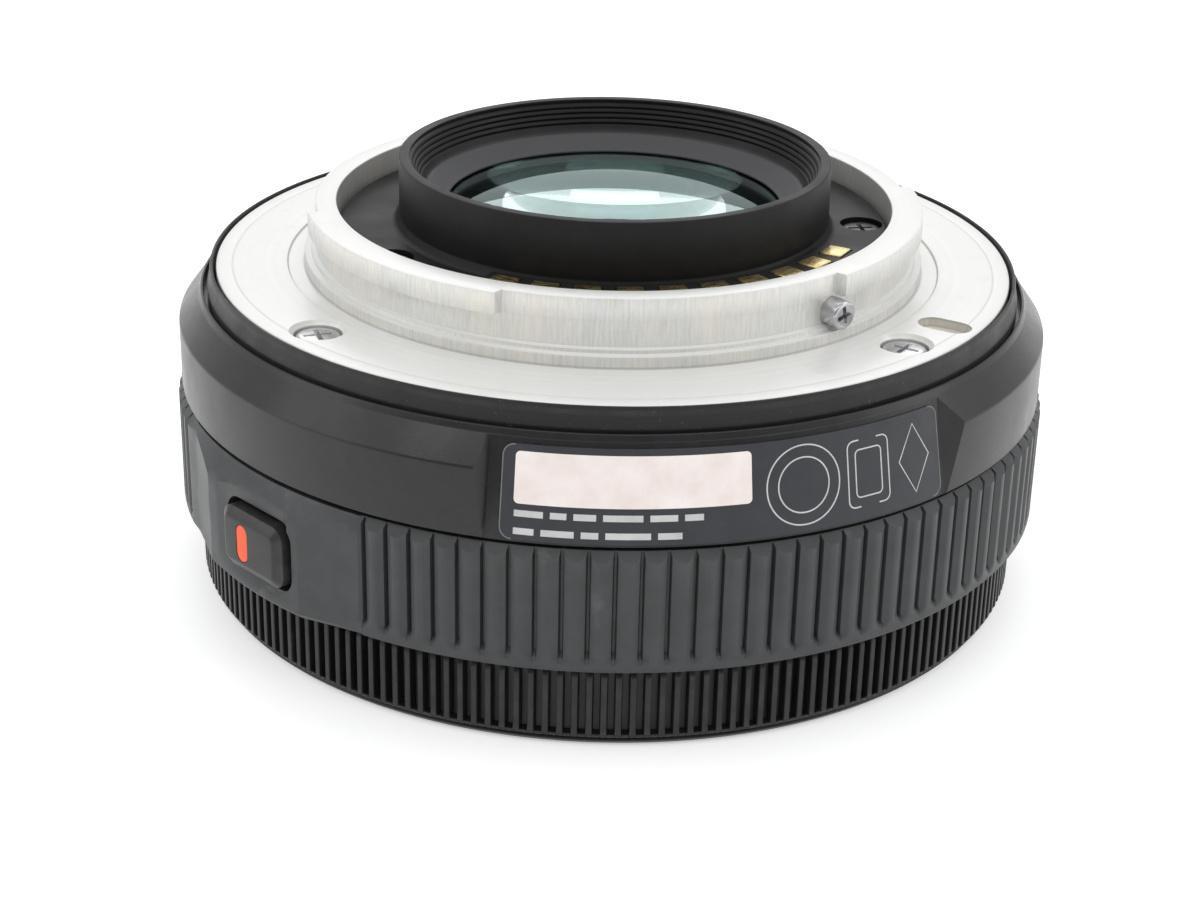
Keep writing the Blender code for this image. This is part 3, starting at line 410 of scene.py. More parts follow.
# Base colour, roughness, turning lines in waves per metre, their depth, and anisotropy.
METALS = {
    "screw_steel": ((0.50, 0.50, 0.51), 0.20, 30000.0, 2e-6, 0.2),
    "cam_metal": ((0.33, 0.34, 0.35), 0.36, 18000.0, 3e-6, 0.3),
    "motor_steel": ((0.58, 0.58, 0.57), 0.32, 15000.0, 2e-6, 0.3),
    "spring_steel": ((0.55, 0.54, 0.50), 0.28, 15000.0, 2e-6, 0.3),
}
MATERIALS = {
    "mount_metal": satin_mount(),
    "seal_rubber": rubber("seal_rubber", (0.012, 0.012, 0.012)),
    "baffle_black": funnel_black(),
    "contact_gold": contact_gold(),
    "optical_glass": coated_glass("optical_glass", (0.55, 1.0, 0.85), 430.0, 1.62),
    "rear_glass": coated_glass("rear_glass", (0.50, 1.0, 0.92), 0.0, 1.60, 0.06, (0.80, 0.95, 0.93)),
}
MATERIALS.update({name: painted(name, *values) for name, values in PAINTS.items()})
MATERIALS.update({name: turned_metal(name, *values) for name, values in METALS.items()})


def dress_nodes():
    """Give every carried-over CAD node the finished material of its slot."""
    for part in frame["record"]["subparts"]:
        node = frame["nodes"][part["node"]]
        node.data.materials.clear()
        node.data.materials.append(MATERIALS[part["material_slot"]])


# --- mesh tools

def polar(radius, angle, z=0.0):
    """The point in mm at a radius and an angle in degrees."""
    turn = math.radians(angle)
    return Vector((radius * math.cos(turn), radius * math.sin(turn), z))


def turned(angle):
    """Matrix of a turn about the vertical, in degrees."""
    return Matrix.Rotation(math.radians(angle), 4, "Z")


def moved(place):
    """Matrix of a move to a place in mm."""
    return Matrix.Translation(Vector(place) * MM)


def as_mesh(name, model):
    """A mesh from a finished bmesh."""
    mesh = bpy.data.meshes.new(name)
    model.to_mesh(mesh)
    model.free()
    return mesh


def smooth(mesh, limit=SHARP):
    """Shade smooth, with the edges above the limit sharp."""
    mesh.shade_smooth()
    mesh.set_sharp_from_angle(angle=limit)
    return mesh


def link(name, data):
    """A new object in the scene."""
    obj = bpy.data.objects.new(name, data)
    bpy.context.scene.collection.objects.link(obj)
    return obj


def show(name, mesh, finish, body="lens_body", replaces=()):
    """Add a piece to the scene with its material, its body and the nodes it stands for."""
    obj = link(name, mesh)
    mesh.materials.clear()
    mesh.materials.append(MATERIALS[finish])
    if body:
        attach(obj, body)
    if replaces:
        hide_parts(*replaces)
    return obj


def filleted(corners, segments=4):
    """A closed outline whose corners (x, y, radius) are rounded where a radius is given."""
    points = []
    count = len(corners)
    for i, (x, y, *radius) in enumerate(corners):
        corner = Vector((x, y))
        before = Vector(corners[i - 1][:2]) - corner
        after = Vector(corners[(i + 1) % count][:2]) - corner
        if not radius:
            points.append((x, y))
            continue
        half = before.angle(after) / 2
        reach_back = min(radius[0] / max(math.tan(half), 1e-3), 0.48 * before.length, 0.48 * after.length)
        first = corner + before.normalized() * reach_back
        last = corner + after.normalized() * reach_back
        for j in range(segments + 1):
            t = j / segments
            point = first * (1 - t) ** 2 + corner * 2 * t * (1 - t) + last * t ** 2
            points.append((point.x, point.y))
    return points


def skin(name, sections, closed=True, caps=False):
    """A mesh through equal loops of points in mm; its sections run counter-clockwise."""
    size = len(sections[0])
    verts = [Vector(p) * MM for section in sections for p in section]
    faces = []
    count = len(sections)
    for j in range(count if closed else count - 1):
        a = j * size
        b = ((j + 1) % count) * size
        for i in range(size):
            k = (i + 1) % size
            faces.append((a + i, a + k, b + k, b + i))
    if caps:
        faces.append(tuple(range(size)))
        faces.append(tuple(reversed(range((count - 1) * size, count * size))))
    mesh = bpy.data.meshes.new(name)
    mesh.from_pydata(verts, [], faces)
    mesh.validate()
    return mesh


def ring(name, profile, steps=STEPS):
    """A full ring with the same closed profile all round; it runs down its outer side."""
    sections = [[polar(r, 360.0 * j / steps, z) for r, z in profile] for j in range(steps)]
    return smooth(skin(name, sections))


def show_ring(name, profile, finish, node, body="lens_body", steps=STEPS):
    """Show a full ring that stands for one node."""
    return show(name, ring(name, profile, steps), finish, body, replaces=[node])


def shaped_ring(name, angles, profile_at):
    """A full ring whose closed profile depends on the angle."""
    return smooth(skin(name, [[polar(r, a, z) for r, z in profile_at(a)] for a in angles]))


def sector(name, profile, first, last, steps=24):
    """A closed profile swept between two angles, with flat ends."""
    angles = [first + (last - first) * j / steps for j in range(steps + 1)]
    return smooth(skin(name, [[polar(r, a, z) for r, z in profile] for a in angles], False, True))


def disc(name, outline, steps=STEPS // 2):
    """A solid of revolution whose outline starts and ends on the axis, outer side downwards."""
    verts = [Vector((0, 0, outline[0][1])) * MM, Vector((0, 0, outline[-1][1])) * MM]
    inner = outline[1:-1]
    size = len(inner)
    for j in range(steps):
        verts += [polar(r, 360.0 * j / steps, z) * MM for r, z in inner]
    faces = []
    for j in range(steps):
        a = 2 + j * size
        b = 2 + ((j + 1) % steps) * size
        faces.append((0, a, b))
        faces += [(a + i, a + i + 1, b + i + 1, b + i) for i in range(size - 1)]
        faces.append((a + size - 1, 1, b + size - 1))
    mesh = bpy.data.meshes.new(name)
    mesh.from_pydata(verts, [], faces)
    return smooth(mesh)


def rod_mesh(name, radius, start, end, sides=48, end_radius=None, bevel=0.0):
    """A round bar or cone between two points in mm."""
    start, end = Vector(start), Vector(end)
    along = end - start
    model = bmesh.new()
    bmesh.ops.create_cone(model, cap_ends=True, segments=sides, radius1=radius * MM,
                          radius2=(radius if end_radius is None else end_radius) * MM,
                          depth=along.length * MM)
    if bevel:
        rims = [e for e in model.edges if len(e.link_faces) == 2 and e.calc_face_angle() > 1.0]
        bmesh.ops.bevel(model, geom=rims, offset=bevel * MM, segments=3, profile=0.5, affect="EDGES")
    model.transform(moved((start + end) / 2) @ along.to_track_quat("Z", "Y").to_matrix().to_4x4())
    return smooth(as_mesh(name, model))


def block_mesh(name, size, centre, turn, bevel=0.0):
    """A box with rounded edges, in mm, turned about the vertical."""
    model = bmesh.new()
    bmesh.ops.create_cube(model, size=MM)
    model.transform(Matrix.Diagonal((*size, 1.0)))
    if bevel:
        bmesh.ops.bevel(model, geom=model.edges[:], offset=bevel * MM, segments=3, profile=0.5,
                        affect="EDGES")
    model.transform(moved(centre) @ turned(turn))
    return smooth(as_mesh(name, model))


def carve(obj, cutters, operation="DIFFERENCE"):
    """Apply Booleans to a piece, which keeps its one material."""
    aids = [link(mesh.name + "_cutter", mesh) for mesh in cutters]
    for aid in aids:
        modifier = obj.modifiers.new("carve", "BOOLEAN")
        modifier.operation = operation
        modifier.solver = "EXACT"
        modifier.object = aid
    bpy.context.view_layer.update()
    evaluated = obj.evaluated_get(bpy.context.evaluated_depsgraph_get())
    mesh = bpy.data.meshes.new_from_object(evaluated)
    obj.modifiers.clear()
    finish = obj.data.materials[0]
    obj.data = mesh
    mesh.materials.clear()
    mesh.materials.append(finish)
    for polygon in mesh.polygons:
        polygon.material_index = 0
    smooth(mesh)
    for aid in aids:
        bpy.data.objects.remove(aid, do_unlink=True)
    return obj


def stadium(length, width, count=12):
    """Outline of a slot with round ends along X."""
    half = (length - width) / 2
    points = []
    for centre, first in ((half, -90.0), (-half, 90.0)):
        for j in range(count + 1):
            turn = math.radians(first + 180.0 * j / count)
            points.append((centre + width / 2 * math.cos(turn), width / 2 * math.sin(turn)))
    return points


def plate_mesh(name, outline, low, high, matrix=None):
    """A flat outline in mm between two heights, optionally placed by a matrix in metres."""
    model = bmesh.new()
    face = model.faces.new([model.verts.new((x * MM, y * MM, low * MM)) for x, y in outline])
    grown = bmesh.ops.extrude_face_region(model, geom=[face])
    top = [v for v in grown["geom"] if isinstance(v, bmesh.types.BMVert)]
    bmesh.ops.translate(model, verts=top, vec=(0, 0, (high - low) * MM))
    bmesh.ops.recalc_face_normals(model, faces=model.faces)
    if matrix:
        model.transform(matrix)
    return smooth(as_mesh(name, model))


def at_polar(radius, angle, z=0.0):
    """Matrix in metres that moves the origin to a place, with X turned outwards."""
    return moved(polar(radius, angle, z)) @ turned(angle)


# --- mount side

def in_claw(angle):
    """How far, from 0 to 1, an angle lies inside a bayonet claw, with sloped ends."""
    slope = 0.5
    for start in CLAW_STARTS:
        inside = min((angle - start) % 360.0, (start + CLAW_SPAN - angle) % 360.0)
        if (angle - start) % 360.0 <= CLAW_SPAN:
            return min(1.0, inside / slope)
    return 0.0


def claw_angles():
    """Even angles, with extra ones at the ends of the claws."""
    angles = {360.0 * j / STEPS - 180.0 for j in range(STEPS)}
    for start in CLAW_STARTS:
        for end in (start, start + CLAW_SPAN):
            for shift in (-0.02, 0.0, 0.25, 0.5, -0.25, -0.5):
                angles.add((end + shift + 180.0) % 360.0 - 180.0)
    return sorted(angles)


def mount_profile(angle):
    """Section of the mount: claw or bare tube, collar, flange and bore."""
    claw = in_claw(angle)
    outer = NECK_R + (CLAW_R - NECK_R) * claw
    lip = NECK_R + 0.02 + (CLAW_R - NECK_R - 0.02) * claw
    corners = [
        (outer, BAYONET_TOP, 0.16), (lip, CLAW_Z, 0.06), (NECK_R, CLAW_Z - 0.01, 0.05),
        (NECK_R, 24.05, 0.03), (NECK_R + 0.30, 23.95, 0.03), (NECK_R + 0.34, 23.72, 0.04),
        (21.8, 23.68, 0.08), (21.8, 22.86, 0.05), (22.95, 22.86, 0.03), (23.05, FLANGE_Z, 0.04),
        (26.78, FLANGE_Z, 0.02), (26.81, 22.98, 0.02), (26.89, 22.98, 0.02), (26.92, FLANGE_Z, 0.02),
        (FLANGE_R, FLANGE_Z, 0.14), (FLANGE_R, FLANGE_LOW), (BORE_R, FLANGE_LOW),
        (BORE_R, BAYONET_TOP, 0.14),
    ]
    return filleted(corners, 3)


def mount():
    """Bayonet mount with its screw pockets, its lock slot and the stop pin's hole."""
    mesh = shaped_ring("bayonet_mount", claw_angles(), mount_profile)
    piece = show("bayonet_mount", mesh, "mount_metal", replaces=["mount_bayonet"])
    tools = []
    for angle in MOUNT_SCREW_ANGLES:
        floor = polar(MOUNT_SCREW_R, angle, FLANGE_Z - 0.85)
        rim = polar(MOUNT_SCREW_R, angle, FLANGE_Z - 0.30)
        top = polar(MOUNT_SCREW_R, angle, FLANGE_Z + 0.1)
        tools.append(rod_mesh("pocket", 1.60, floor, top + Vector((0, 0, 0.1)), 64))
        tools.append(rod_mesh("pocket_rim", 1.58, rim, top, 64, 1.98))
    slot = stadium(3.7, 2.2, 20)
    tools.append(plate_mesh("slot", slot, FLANGE_Z - 0.9, FLANGE_Z + 1, at_polar(SLOT_R, SLOT_ANGLE)))
    pin_inner, pin_outer = (polar(radius, PIN_ANGLE, PIN_Z) for radius in (21.05, 24.0))
    tools.append(rod_mesh("pin_pocket", 1.15, pin_inner, pin_outer))
    carve(piece, tools)
    floor = plate_mesh("lock_slot_floor", stadium(3.66, 2.16), FLANGE_Z - 0.95, FLANGE_Z - 0.62,
                       at_polar(SLOT_R, SLOT_ANGLE))
    show("lock_slot_floor", floor, "slot_beige")


def cross_cut(centre, depth, arm, width, lean):
    """Two crossing wedges for a cross recess, about a centre and a tilted axis."""
    tools = []
    for turn in (0.0, 90.0):
        model = bmesh.new()
        bmesh.ops.create_cone(model, cap_ends=True, segments=4, radius1=0.25 * arm * MM,
                              radius2=arm * MM, depth=2 * depth * MM)
        model.transform(turned(45.0))
        model.transform(Matrix.Diagonal((1.42, width / arm, 1.0, 1.0)))
        model.transform(turned(turn))
        model.transform(moved(centre) @ lean)
        tools.append(as_mesh("cross", model))
    return tools


def cross_screw(name, node, place, head, radius, low, finish, turn=0.0):
    """A flat-headed screw with a cross recess; head is the height of its top."""
    outline = [(0.0, head), (radius - 0.28, head), (radius - 0.12, head - 0.03),
               (radius - 0.02, head - 0.12), (radius, head - 0.22), (radius, head - 0.5),
               (radius * 0.5, head - 0.7), (radius * 0.5, low), (0.0, low)]
    mesh = disc(name, outline, 64)
    piece = show(name, mesh, finish, "lens_body", [node])
    carve(piece, cross_cut((0, 0, head), 0.42, radius * 1.02, 0.36, turned(turn)))
    piece.data.transform(moved(place))


def fasteners():
    """Mount screws, baffle screws and the radial stop pin."""
    for i, angle in enumerate(MOUNT_SCREW_ANGLES):
        cross_screw("flange_screw_%d" % (i + 1), "mount_screw_%d" % (i + 1), polar(MOUNT_SCREW_R, angle),
                    FLANGE_Z - 0.32, 1.5, 18.4, "screw_steel", 20.0 + 37.0 * i)
    for i, angle in enumerate(BAFFLE_SCREW_ANGLES):
        cross_screw("funnel_screw_%d" % (i + 1), "baffle_screw_%d" % (i + 1), polar(BAFFLE_SCREW_R, angle),
                    25.32, 1.42, 22.4, "screw_black", 10.0 + 25.0 * i)
    inner = polar(19.75, PIN_ANGLE, PIN_Z)
    outer = polar(22.3, PIN_ANGLE, PIN_Z)
    pin = show("stop_pin", rod_mesh("stop_pin", 0.98, inner, outer, 48, None, 0.14), "screw_steel",
               replaces=["mount_stop_pin"])
    lean = (outer - inner).to_track_quat("Z", "Y").to_matrix().to_4x4()
    carve(pin, cross_cut(outer, 0.45, 1.02, 0.34, lean @ turned(12.0)))


def seal():
    """Rubber dust seal with a rounded overhanging lip."""
    profile = filleted([
        (SEAL_R - 0.27, SEAL_TOP, 0.07), (SEAL_R - 0.20, SEAL_TOP - 0.22, 0.10),
        (SEAL_R - 0.24, SEAL_TOP - 0.55, 0.5), (SEAL_R, SEAL_TOP - 1.35, 0.35), (SEAL_R, SEAL_LOW),
        (SEAL_R - 0.45, SEAL_LOW), (SEAL_R - 0.45, SEAL_TOP - 0.12, 0.05),
        (SEAL_R - 0.40, SEAL_TOP, 0.05),
    ], 5)
    show_ring("dust_seal", profile, "seal_rubber", "mount_seal")


def recess_radius(z):
    """Radius of the label recess at a height."""
    (high_r, high_z), (low_r, low_z) = LABEL_HIGH, LABEL_LOW
    return low_r + (high_r - low_r) * (z - low_z) / (high_z - low_z)


def barrel():
    """Rear barrel with a rounded shoulder and the label recess with its sloped ends."""
    profile = filleted([
        (29.1, BARREL_TOP, 0.16), (CHAMFER_R, CHAMFER_Z + 0.1, 0.42),
        (BARREL_R, SHOULDER_Z, 0.45), (BARREL_R, BARREL_LOW, 0.16), (29.7, BARREL_LOW, 0.1),
        (29.7, 18.9), (28.6, 19.3), (20.0, 19.3), (20.0, 20.8),
        (28.95, 20.8), (28.95, BARREL_TOP, 0.06),
    ], 5)
    piece = show_ring("barrel_shell", profile, "barrel_black", "rear_barrel", steps=480)
    first, last = RECESS
    before, after = RECESS_RAMPS
    stations = [(first - 2 * before, 2.0), (first, 0.0)]
    stations += [(first + (last - first) * j / 48, 0.0) for j in range(1, 48)]
    stations += [(last, 0.0), (last + 2 * after, 2.0)]
    sections = []
    for angle, lift in stations:
        sections.append([polar(recess_radius(RECESS_TOP) + lift, angle, RECESS_TOP),
                         polar(34.0, angle, RECESS_TOP), polar(34.0, angle, RECESS_LOW),
                         polar(recess_radius(RECESS_LOW) + lift, angle, RECESS_LOW)])
    carve(piece, [skin("recess", sections, False, True)])


# --- label

def on_label(angle, z, lift):
    """A point in mm on the label's cone; lift is its height over the recess."""
    return polar(recess_radius(z) + lift, angle, z)


def patch(name, angles, heights, corner, low, high, finish, columns=40):
    """A rounded rectangle that follows the label's cone, between two lifts."""
    first, last = angles
    bottom, top = heights
    width = (last - first) * DEGREE_MM
    offsets = {width * j / columns for j in range(columns + 1)}
    if corner:
        for j in range(9):
            reach_in = corner * (1 - math.cos(math.radians(90 * j / 8)))
            offsets |= {reach_in, width - reach_in}
    sections = []
    for offset in sorted(offsets):
        edge = min(offset, width - offset)
        shrink = 0.0
        if edge < corner:
            shrink = corner - math.sqrt(max(corner ** 2 - (corner - edge) ** 2, 0.0))
        angle = first + offset / DEGREE_MM
        loop = [(top - shrink, low), (top - shrink, high), (bottom + shrink, high), (bottom + shrink, low)]
        sections.append([on_label(angle, z, lift) for z, lift in loop])
    mesh = smooth(skin(name, sections, False, True))
    return show(name, mesh, finish)


def stroke(name, points, width, lift, finish):
    """A thin raised line through (angle, z) points on the label."""
    flat = [Vector((a * DEGREE_MM, z)) for a, z in points]
    sections = []
    count = len(flat)
    for i, point in enumerate(flat):
        before = flat[i - 1]
        after = flat[(i + 1) % count]
        along = (after - before).normalized()
        side = Vector((-along.y, along.x)) * width / 2
        loop = [(point + side, lift), (point + side, lift + STROKE_HEIGHT),
                (point - side, lift + STROKE_HEIGHT), (point - side, lift)]
        sections.append([on_label(p.x / DEGREE_MM, p.y, height) for p, height in loop])
    mesh = smooth(skin(name, sections))
    return show(name, mesh, finish)


def round_outline(centre, half_width, half_height, corner, count=8):
    """A rounded rectangle of (angle, z) points; the half width is in degrees."""
    angle, z = centre
    half = half_width * DEGREE_MM
    points = []
    for x, y, first in ((1, 1, 0.0), (-1, 1, 90.0), (-1, -1, 180.0), (1, -1, 270.0)):
        for j in range(count + 1):
            turn = math.radians(first + 90.0 * j / count)
            px = x * (half - corner) + corner * math.cos(turn)
            py = y * (half_height - corner) + corner * math.sin(turn)
            points.append((angle + px / DEGREE_MM, z + py))
    return points


def label():
    """Label plate with a thin outline, a blank white field, plain bars and plain outlines."""
    first, last = LABEL
    low, high = LABEL_RANGE
    plate = patch("label_base", (first, last), (low, high), 0.75, 0.06, 0.16, "label_grey", 64)
    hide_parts("label_plate")
    middle = ((first + last) / 2, (low + high) / 2)
    half_height = (high - low) / 2
    border = round_outline(middle, (last - first) / 2 - 0.08, half_height - 0.04, 0.72)
    stroke("label_border", border, 0.07, 0.16, "label_rim")
    patch("label_field", (-101.0, -73.2), (17.2, 20.42), 0.3, 0.155, 0.175, "label_white")
    for row, (z, lengths) in enumerate(BAR_ROWS):
        start = -100.9
        for j, length in enumerate(lengths):
            patch("label_bar_%d_%d" % (row + 1, j + 1), (start, start + length), (z - 0.20, z + 0.20),
                  0.0, 0.155, 0.170, "label_line", 4)
            start += length + 0.8
    for name, *shape in LABEL_MARKS:
        stroke(name, round_outline(*shape), 0.09, 0.16, "label_line")
    diamond = [(-50.4, 20.1), (-52.9, 17.9), (-50.4, 15.7), (-47.9, 17.9)]
    stroke("label_diamond", diamond, 0.09, 0.16, "label_line")


# --- rings turned by hand

def rib_radius(angle):
    """Radius of the aperture ring's wall at an angle: narrow crowns, sloped flanks, slim grooves."""
    phase = ((angle - RIB_FIRST) / RIB_PITCH) % 1.0
    from_groove = min(phase, 1.0 - phase)
    for (low, inner), (high, outer) in zip(RIB_SHAPE, RIB_SHAPE[1:]):
        if from_groove <= high:
            return BODY_R - inner + (inner - outer) * (from_groove - low) / (high - low)
    return BODY_R


def boss_radius(angle, z):
    """Radius of the boss, of the flat around its button and of its flanks; None outside it."""
    low, high = BOSS_FACE
    first, last = BOSS_SPAN
    if not first <= angle <= last:
        return None
    if low <= angle <= high:
        flat = BOSS_FLAT / math.cos(math.radians(angle - BUTTON_ANGLE))
        if angle > BOSS_STEP or flat > BOSS_R:
            return BOSS_R
        fade = min(1.0, max(0.0, (z - 6.8) / 1.0))
        return BOSS_R - (BOSS_R - flat) * fade
    side = (angle - first) / (low - first) if angle < low else (last - angle) / (last - high)
    return BODY_R - 0.10 + (BOSS_R - BODY_R + 0.10) * side ** 1.6


def aperture_angles():
    """Angles at the corners of every rib and along the boss."""
    angles = []
    count = round((360.0 - (BOSS_SPAN[1] - BOSS_SPAN[0])) / RIB_PITCH)
    parts = [share for share, _ in RIB_SHAPE[1:]]
    for i in range(count):
        for part in [-share for share in reversed(parts)] + [0.0] + parts:
            angles.append(round(RIB_FIRST + (i + part) * RIB_PITCH, 5))
    end = BOSS_SPAN[0] + 360.0
    angles = [a for a in angles if BOSS_SPAN[1] + 0.05 < a < end - 0.05]
    first, last = BOSS_SPAN
    angles += [first + 360.0 + (last - first) * j / 72 for j in range(73)]
    for edge in (*BOSS_FACE, BOSS_STEP):
        angles += [edge + 360.0 - 0.01, edge + 360.0 + 0.01]
    return sorted(set(angles))


def aperture_profile(angle):
    """Section of the aperture ring at an angle, with one point on the edge of its upper slope."""
    angle = (angle + 180.0) % 360.0 - 180.0
    boss = boss_radius(angle, 12.0)
    if boss is None:
        rib = rib_radius(angle)
        slope_low, slope_r, slope = RIB_CHAMFER_Z, BODY_R, 1.0
        top_r = rib
    else:
        slope_low, slope_r, slope = BOSS_CHAMFER_Z, BOSS_R, 0.62
        top_r = boss
    edge = min(APERTURE_HIGH - 0.02, slope_low + (slope_r - top_r) / slope)
    wall = [(min(top_r, slope_r - slope * (APERTURE_HIGH - slope_low)), APERTURE_HIGH)]
    wall += [(slope_r - slope * (edge + share * (APERTURE_HIGH - edge) - slope_low),
              edge + share * (APERTURE_HIGH - edge)) for share in (0.66, 0.33)] if edge < 14.4 else []
    while len(wall) < 3:
        wall.append((min(top_r, wall[0][0]), APERTURE_HIGH - 0.005 * len(wall)))
    wall.append((top_r, edge))
    for share in (0.8, 0.6, 0.4, 0.2):
        wall.append((top_r, 8.0 + share * (edge - 8.0)))
    for z in (8.0, 7.6, 7.35, 7.2, 7.1, 7.0, 6.8, 6.6, 6.45, 6.25, APERTURE_LOW):
        if boss is None:
            r = BODY_R - (BODY_R - rib) * min(1.0, max(0.0, (z - 6.9) / 0.45))
        else:
            r = boss_radius(angle, z)
        wall.append((r - 0.30 * max(0.0, (6.45 - z) / 0.35), z))
    return wall + [(27.2, APERTURE_LOW), (27.2, 6.8), (28.9, 6.8), (28.9, APERTURE_HIGH)]


def aperture_ring():
    """Ribbed aperture ring with its boss, and the pocket of the lock button."""
    mesh = shaped_ring("ribbed_aperture_ring", aperture_angles(), aperture_profile)
    mesh = smooth(mesh, math.radians(13))
    piece = show("ribbed_aperture_ring", mesh, "ring_grey", "aperture_ring", replaces=["aperture_ring"])
    carve(piece, [slab_mesh("pocket", 28.6, 34.0, (7.2, 5.0), 1.3)])


def slab_mesh(name, inner, outer, size, corner, bevel=0.0, rise=0.0):
    """A rounded block on the button's axis between two radii, with an optional bevel on its face."""
    width, height = size
    model = bmesh.new()
    bmesh.ops.create_cube(model, size=MM)
    model.transform(Matrix.Diagonal((outer - inner, width, height, 1.0)))
    along = [e for e in model.edges if abs((e.verts[0].co - e.verts[1].co).normalized().x) > 0.9]
    bmesh.ops.bevel(model, geom=along, offset=corner * MM, segments=8, profile=0.5, affect="EDGES")
    if bevel:
        face = max(model.faces, key=lambda f: f.calc_center_median().x)
        bmesh.ops.inset_region(model, faces=[face], thickness=bevel * MM, depth=rise * MM)
        bmesh.ops.bevel(model, geom=list(face.edges), offset=0.10 * MM, segments=2, profile=0.5,
                        affect="EDGES")
    bmesh.ops.recalc_face_normals(model, faces=model.faces)
    model.transform(moved(((outer + inner) / 2, 0, BUTTON_Z)))
    model.transform(turned(BUTTON_ANGLE))
    return as_mesh(name, model)


def lock_button():
    """Lock button with a wide bevel round its flat face, and an orange-red bar."""
    outer = 32.2
    mesh = slab_mesh("push_button", 29.0, outer - 0.42, (6.4, 4.3), 1.0, 0.62, 0.42)
    piece = show("push_button", smooth(mesh, math.radians(24)), "button_black", "lock_button",
                 replaces=["lock_button"])
    upright = turned(BUTTON_ANGLE) @ moved((outer, -0.72, BUTTON_Z))
    upright = upright @ Matrix.Rotation(math.radians(90), 4, "Y")
    carve(piece, [plate_mesh("seat", stadium(2.7, 1.22, 10), -0.12, 0.5, upright)])
    bar = plate_mesh("lock_bar", stadium(2.6, 1.12, 10), -0.2, -0.02, upright)
    show("lock_bar", bar, "mark_orange", "lock_button", replaces=["lock_mark"])


def focus_angles():
    """Angles at the corners of every focus rib."""
    pitch = 360.0 / FOCUS_RIBS
    return [(i + part) * pitch for i in range(FOCUS_RIBS) for part in
            (-0.21, -0.15, 0.15, 0.21, 0.29, 0.71)]


def focus_profile(angle):
    """Section of the focus ring: rib or groove between two plain rims."""
    phase = (angle * FOCUS_RIBS / 360.0) % 1.0
    from_rib = min(phase, 1.0 - phase)
    if from_rib < 0.16:
        depth = 0.0
    elif from_rib < 0.22:
        depth = 0.05
    else:
        depth = 0.68
    wall = []
    for z, rib, groove in FOCUS_WALL:
        inset = groove if depth > 0.5 else rib + depth
        wall.append((FOCUS_R - inset, z))
    return wall + [(27.9, FOCUS_LOW), (27.9, FOCUS_HIGH)]


def focus_ring():
    """Finely ribbed focus ring."""
    mesh = shaped_ring("ribbed_focus_ring", focus_angles(), focus_profile)
    show("ribbed_focus_ring", mesh, "ring_black", "focus_ring", replaces=["focus_ring"])


# --- rear baffle and contacts

def baffle():
    """Rear funnel with stepped ridges inside, on its plate with screw pockets."""
    inner = []
    top, low = BAFFLE_TOP, 28.3
    ridges = 5
    height = (top - 0.22 - low) / ridges
    for i in range(ridges):
        z = low + height * i
        r = 13.62 + 0.80 * (i + 1) / ridges
        inner += [(r - 0.30, z + 0.03, 0.05), (r - 0.20, z + height * 0.66, 0.07),
                  (r, z + height * 0.9)]
    corners = [(15.15, top, 0.14), (15.15, 26.3, 0.25), (15.45, 25.62, 0.4), (19.25, 25.6, 0.08),
               (19.25, 25.0), (14.5, 25.0), (14.5, 26.95), (11.75, 26.95),
               (11.75, 27.06, 0.03), (12.0, 27.2, 0.04), (13.05, 27.98, 0.06), (13.3, 28.05, 0.04)]
    profile = filleted(corners + inner + [(14.35, top, 0.12)], 4)
    piece = show_ring("light_funnel", profile, "baffle_black", "rear_baffle")
    tools = []
    posts = []
    for angle in BAFFLE_SCREW_ANGLES:
        posts.append(rod_mesh("post", 1.75, polar(BAFFLE_SCREW_R, angle, 23.2),
                              polar(BAFFLE_SCREW_R, angle, 25.3)))
        tools.append(rod_mesh("well", 1.5, polar(BAFFLE_SCREW_R, angle, 24.1),
                              polar(BAFFLE_SCREW_R, angle, 26.5)))
    carve(piece, posts, "UNION")
    carve(piece, tools)


def contacts():
    """Black contact holder with ten bevelled gold pads in its windows."""
    holder = filleted([(18.95, 26.3, 0.08), (18.95, 25.72), (15.75, 25.72),
                       (15.75, 26.3, 0.08)], 3)
    piece = show("contact_holder", sector("contact_holder", holder, *HOLDER_SPAN, 90), "chassis_black",
                 replaces=["contact_block"])
    tools = []
    for i in range(CONTACTS):
        angle = CONTACT_FIRST + CONTACT_PITCH * i
        tools.append(block_mesh("window", (1.74, 1.94, 1.0), polar(CONTACT_R, angle, 26.2), angle))
        pad = block_mesh("contact_pad_%d" % (i + 1), (1.56, 1.76, 0.66), polar(CONTACT_R, angle, 26.09),
                         angle, 0.09)
        pad_piece = show("contact_pad_%d" % (i + 1), pad, "contact_gold")
        if i == 0:
            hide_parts("contact_pads")
    carve(piece, tools)


# --- optics

def sag(curvature_radius, r):
    """Height of a spherical surface over its vertex."""
    radius = abs(curvature_radius)
    return math.copysign(radius - math.sqrt(radius ** 2 - r ** 2), curvature_radius)


def element(number, edge, front, rear):
    """A smooth lens element; front and rear are (vertex z, radius of curvature)."""
    rings = 16
    radii = [edge * i / rings for i in range(rings + 1)]
    outline = [(r, rear[0] + sag(rear[1], r)) for r in radii]
    outline += [(r, front[0] + sag(front[1], r)) for r in reversed(radii)]
    name = "glass_%d" % number
    finish = "rear_glass" if number == 7 else "optical_glass"
    show(name, disc(name, outline, 160), finish, "focus_carriage",
         ["lens_element_%d" % number])


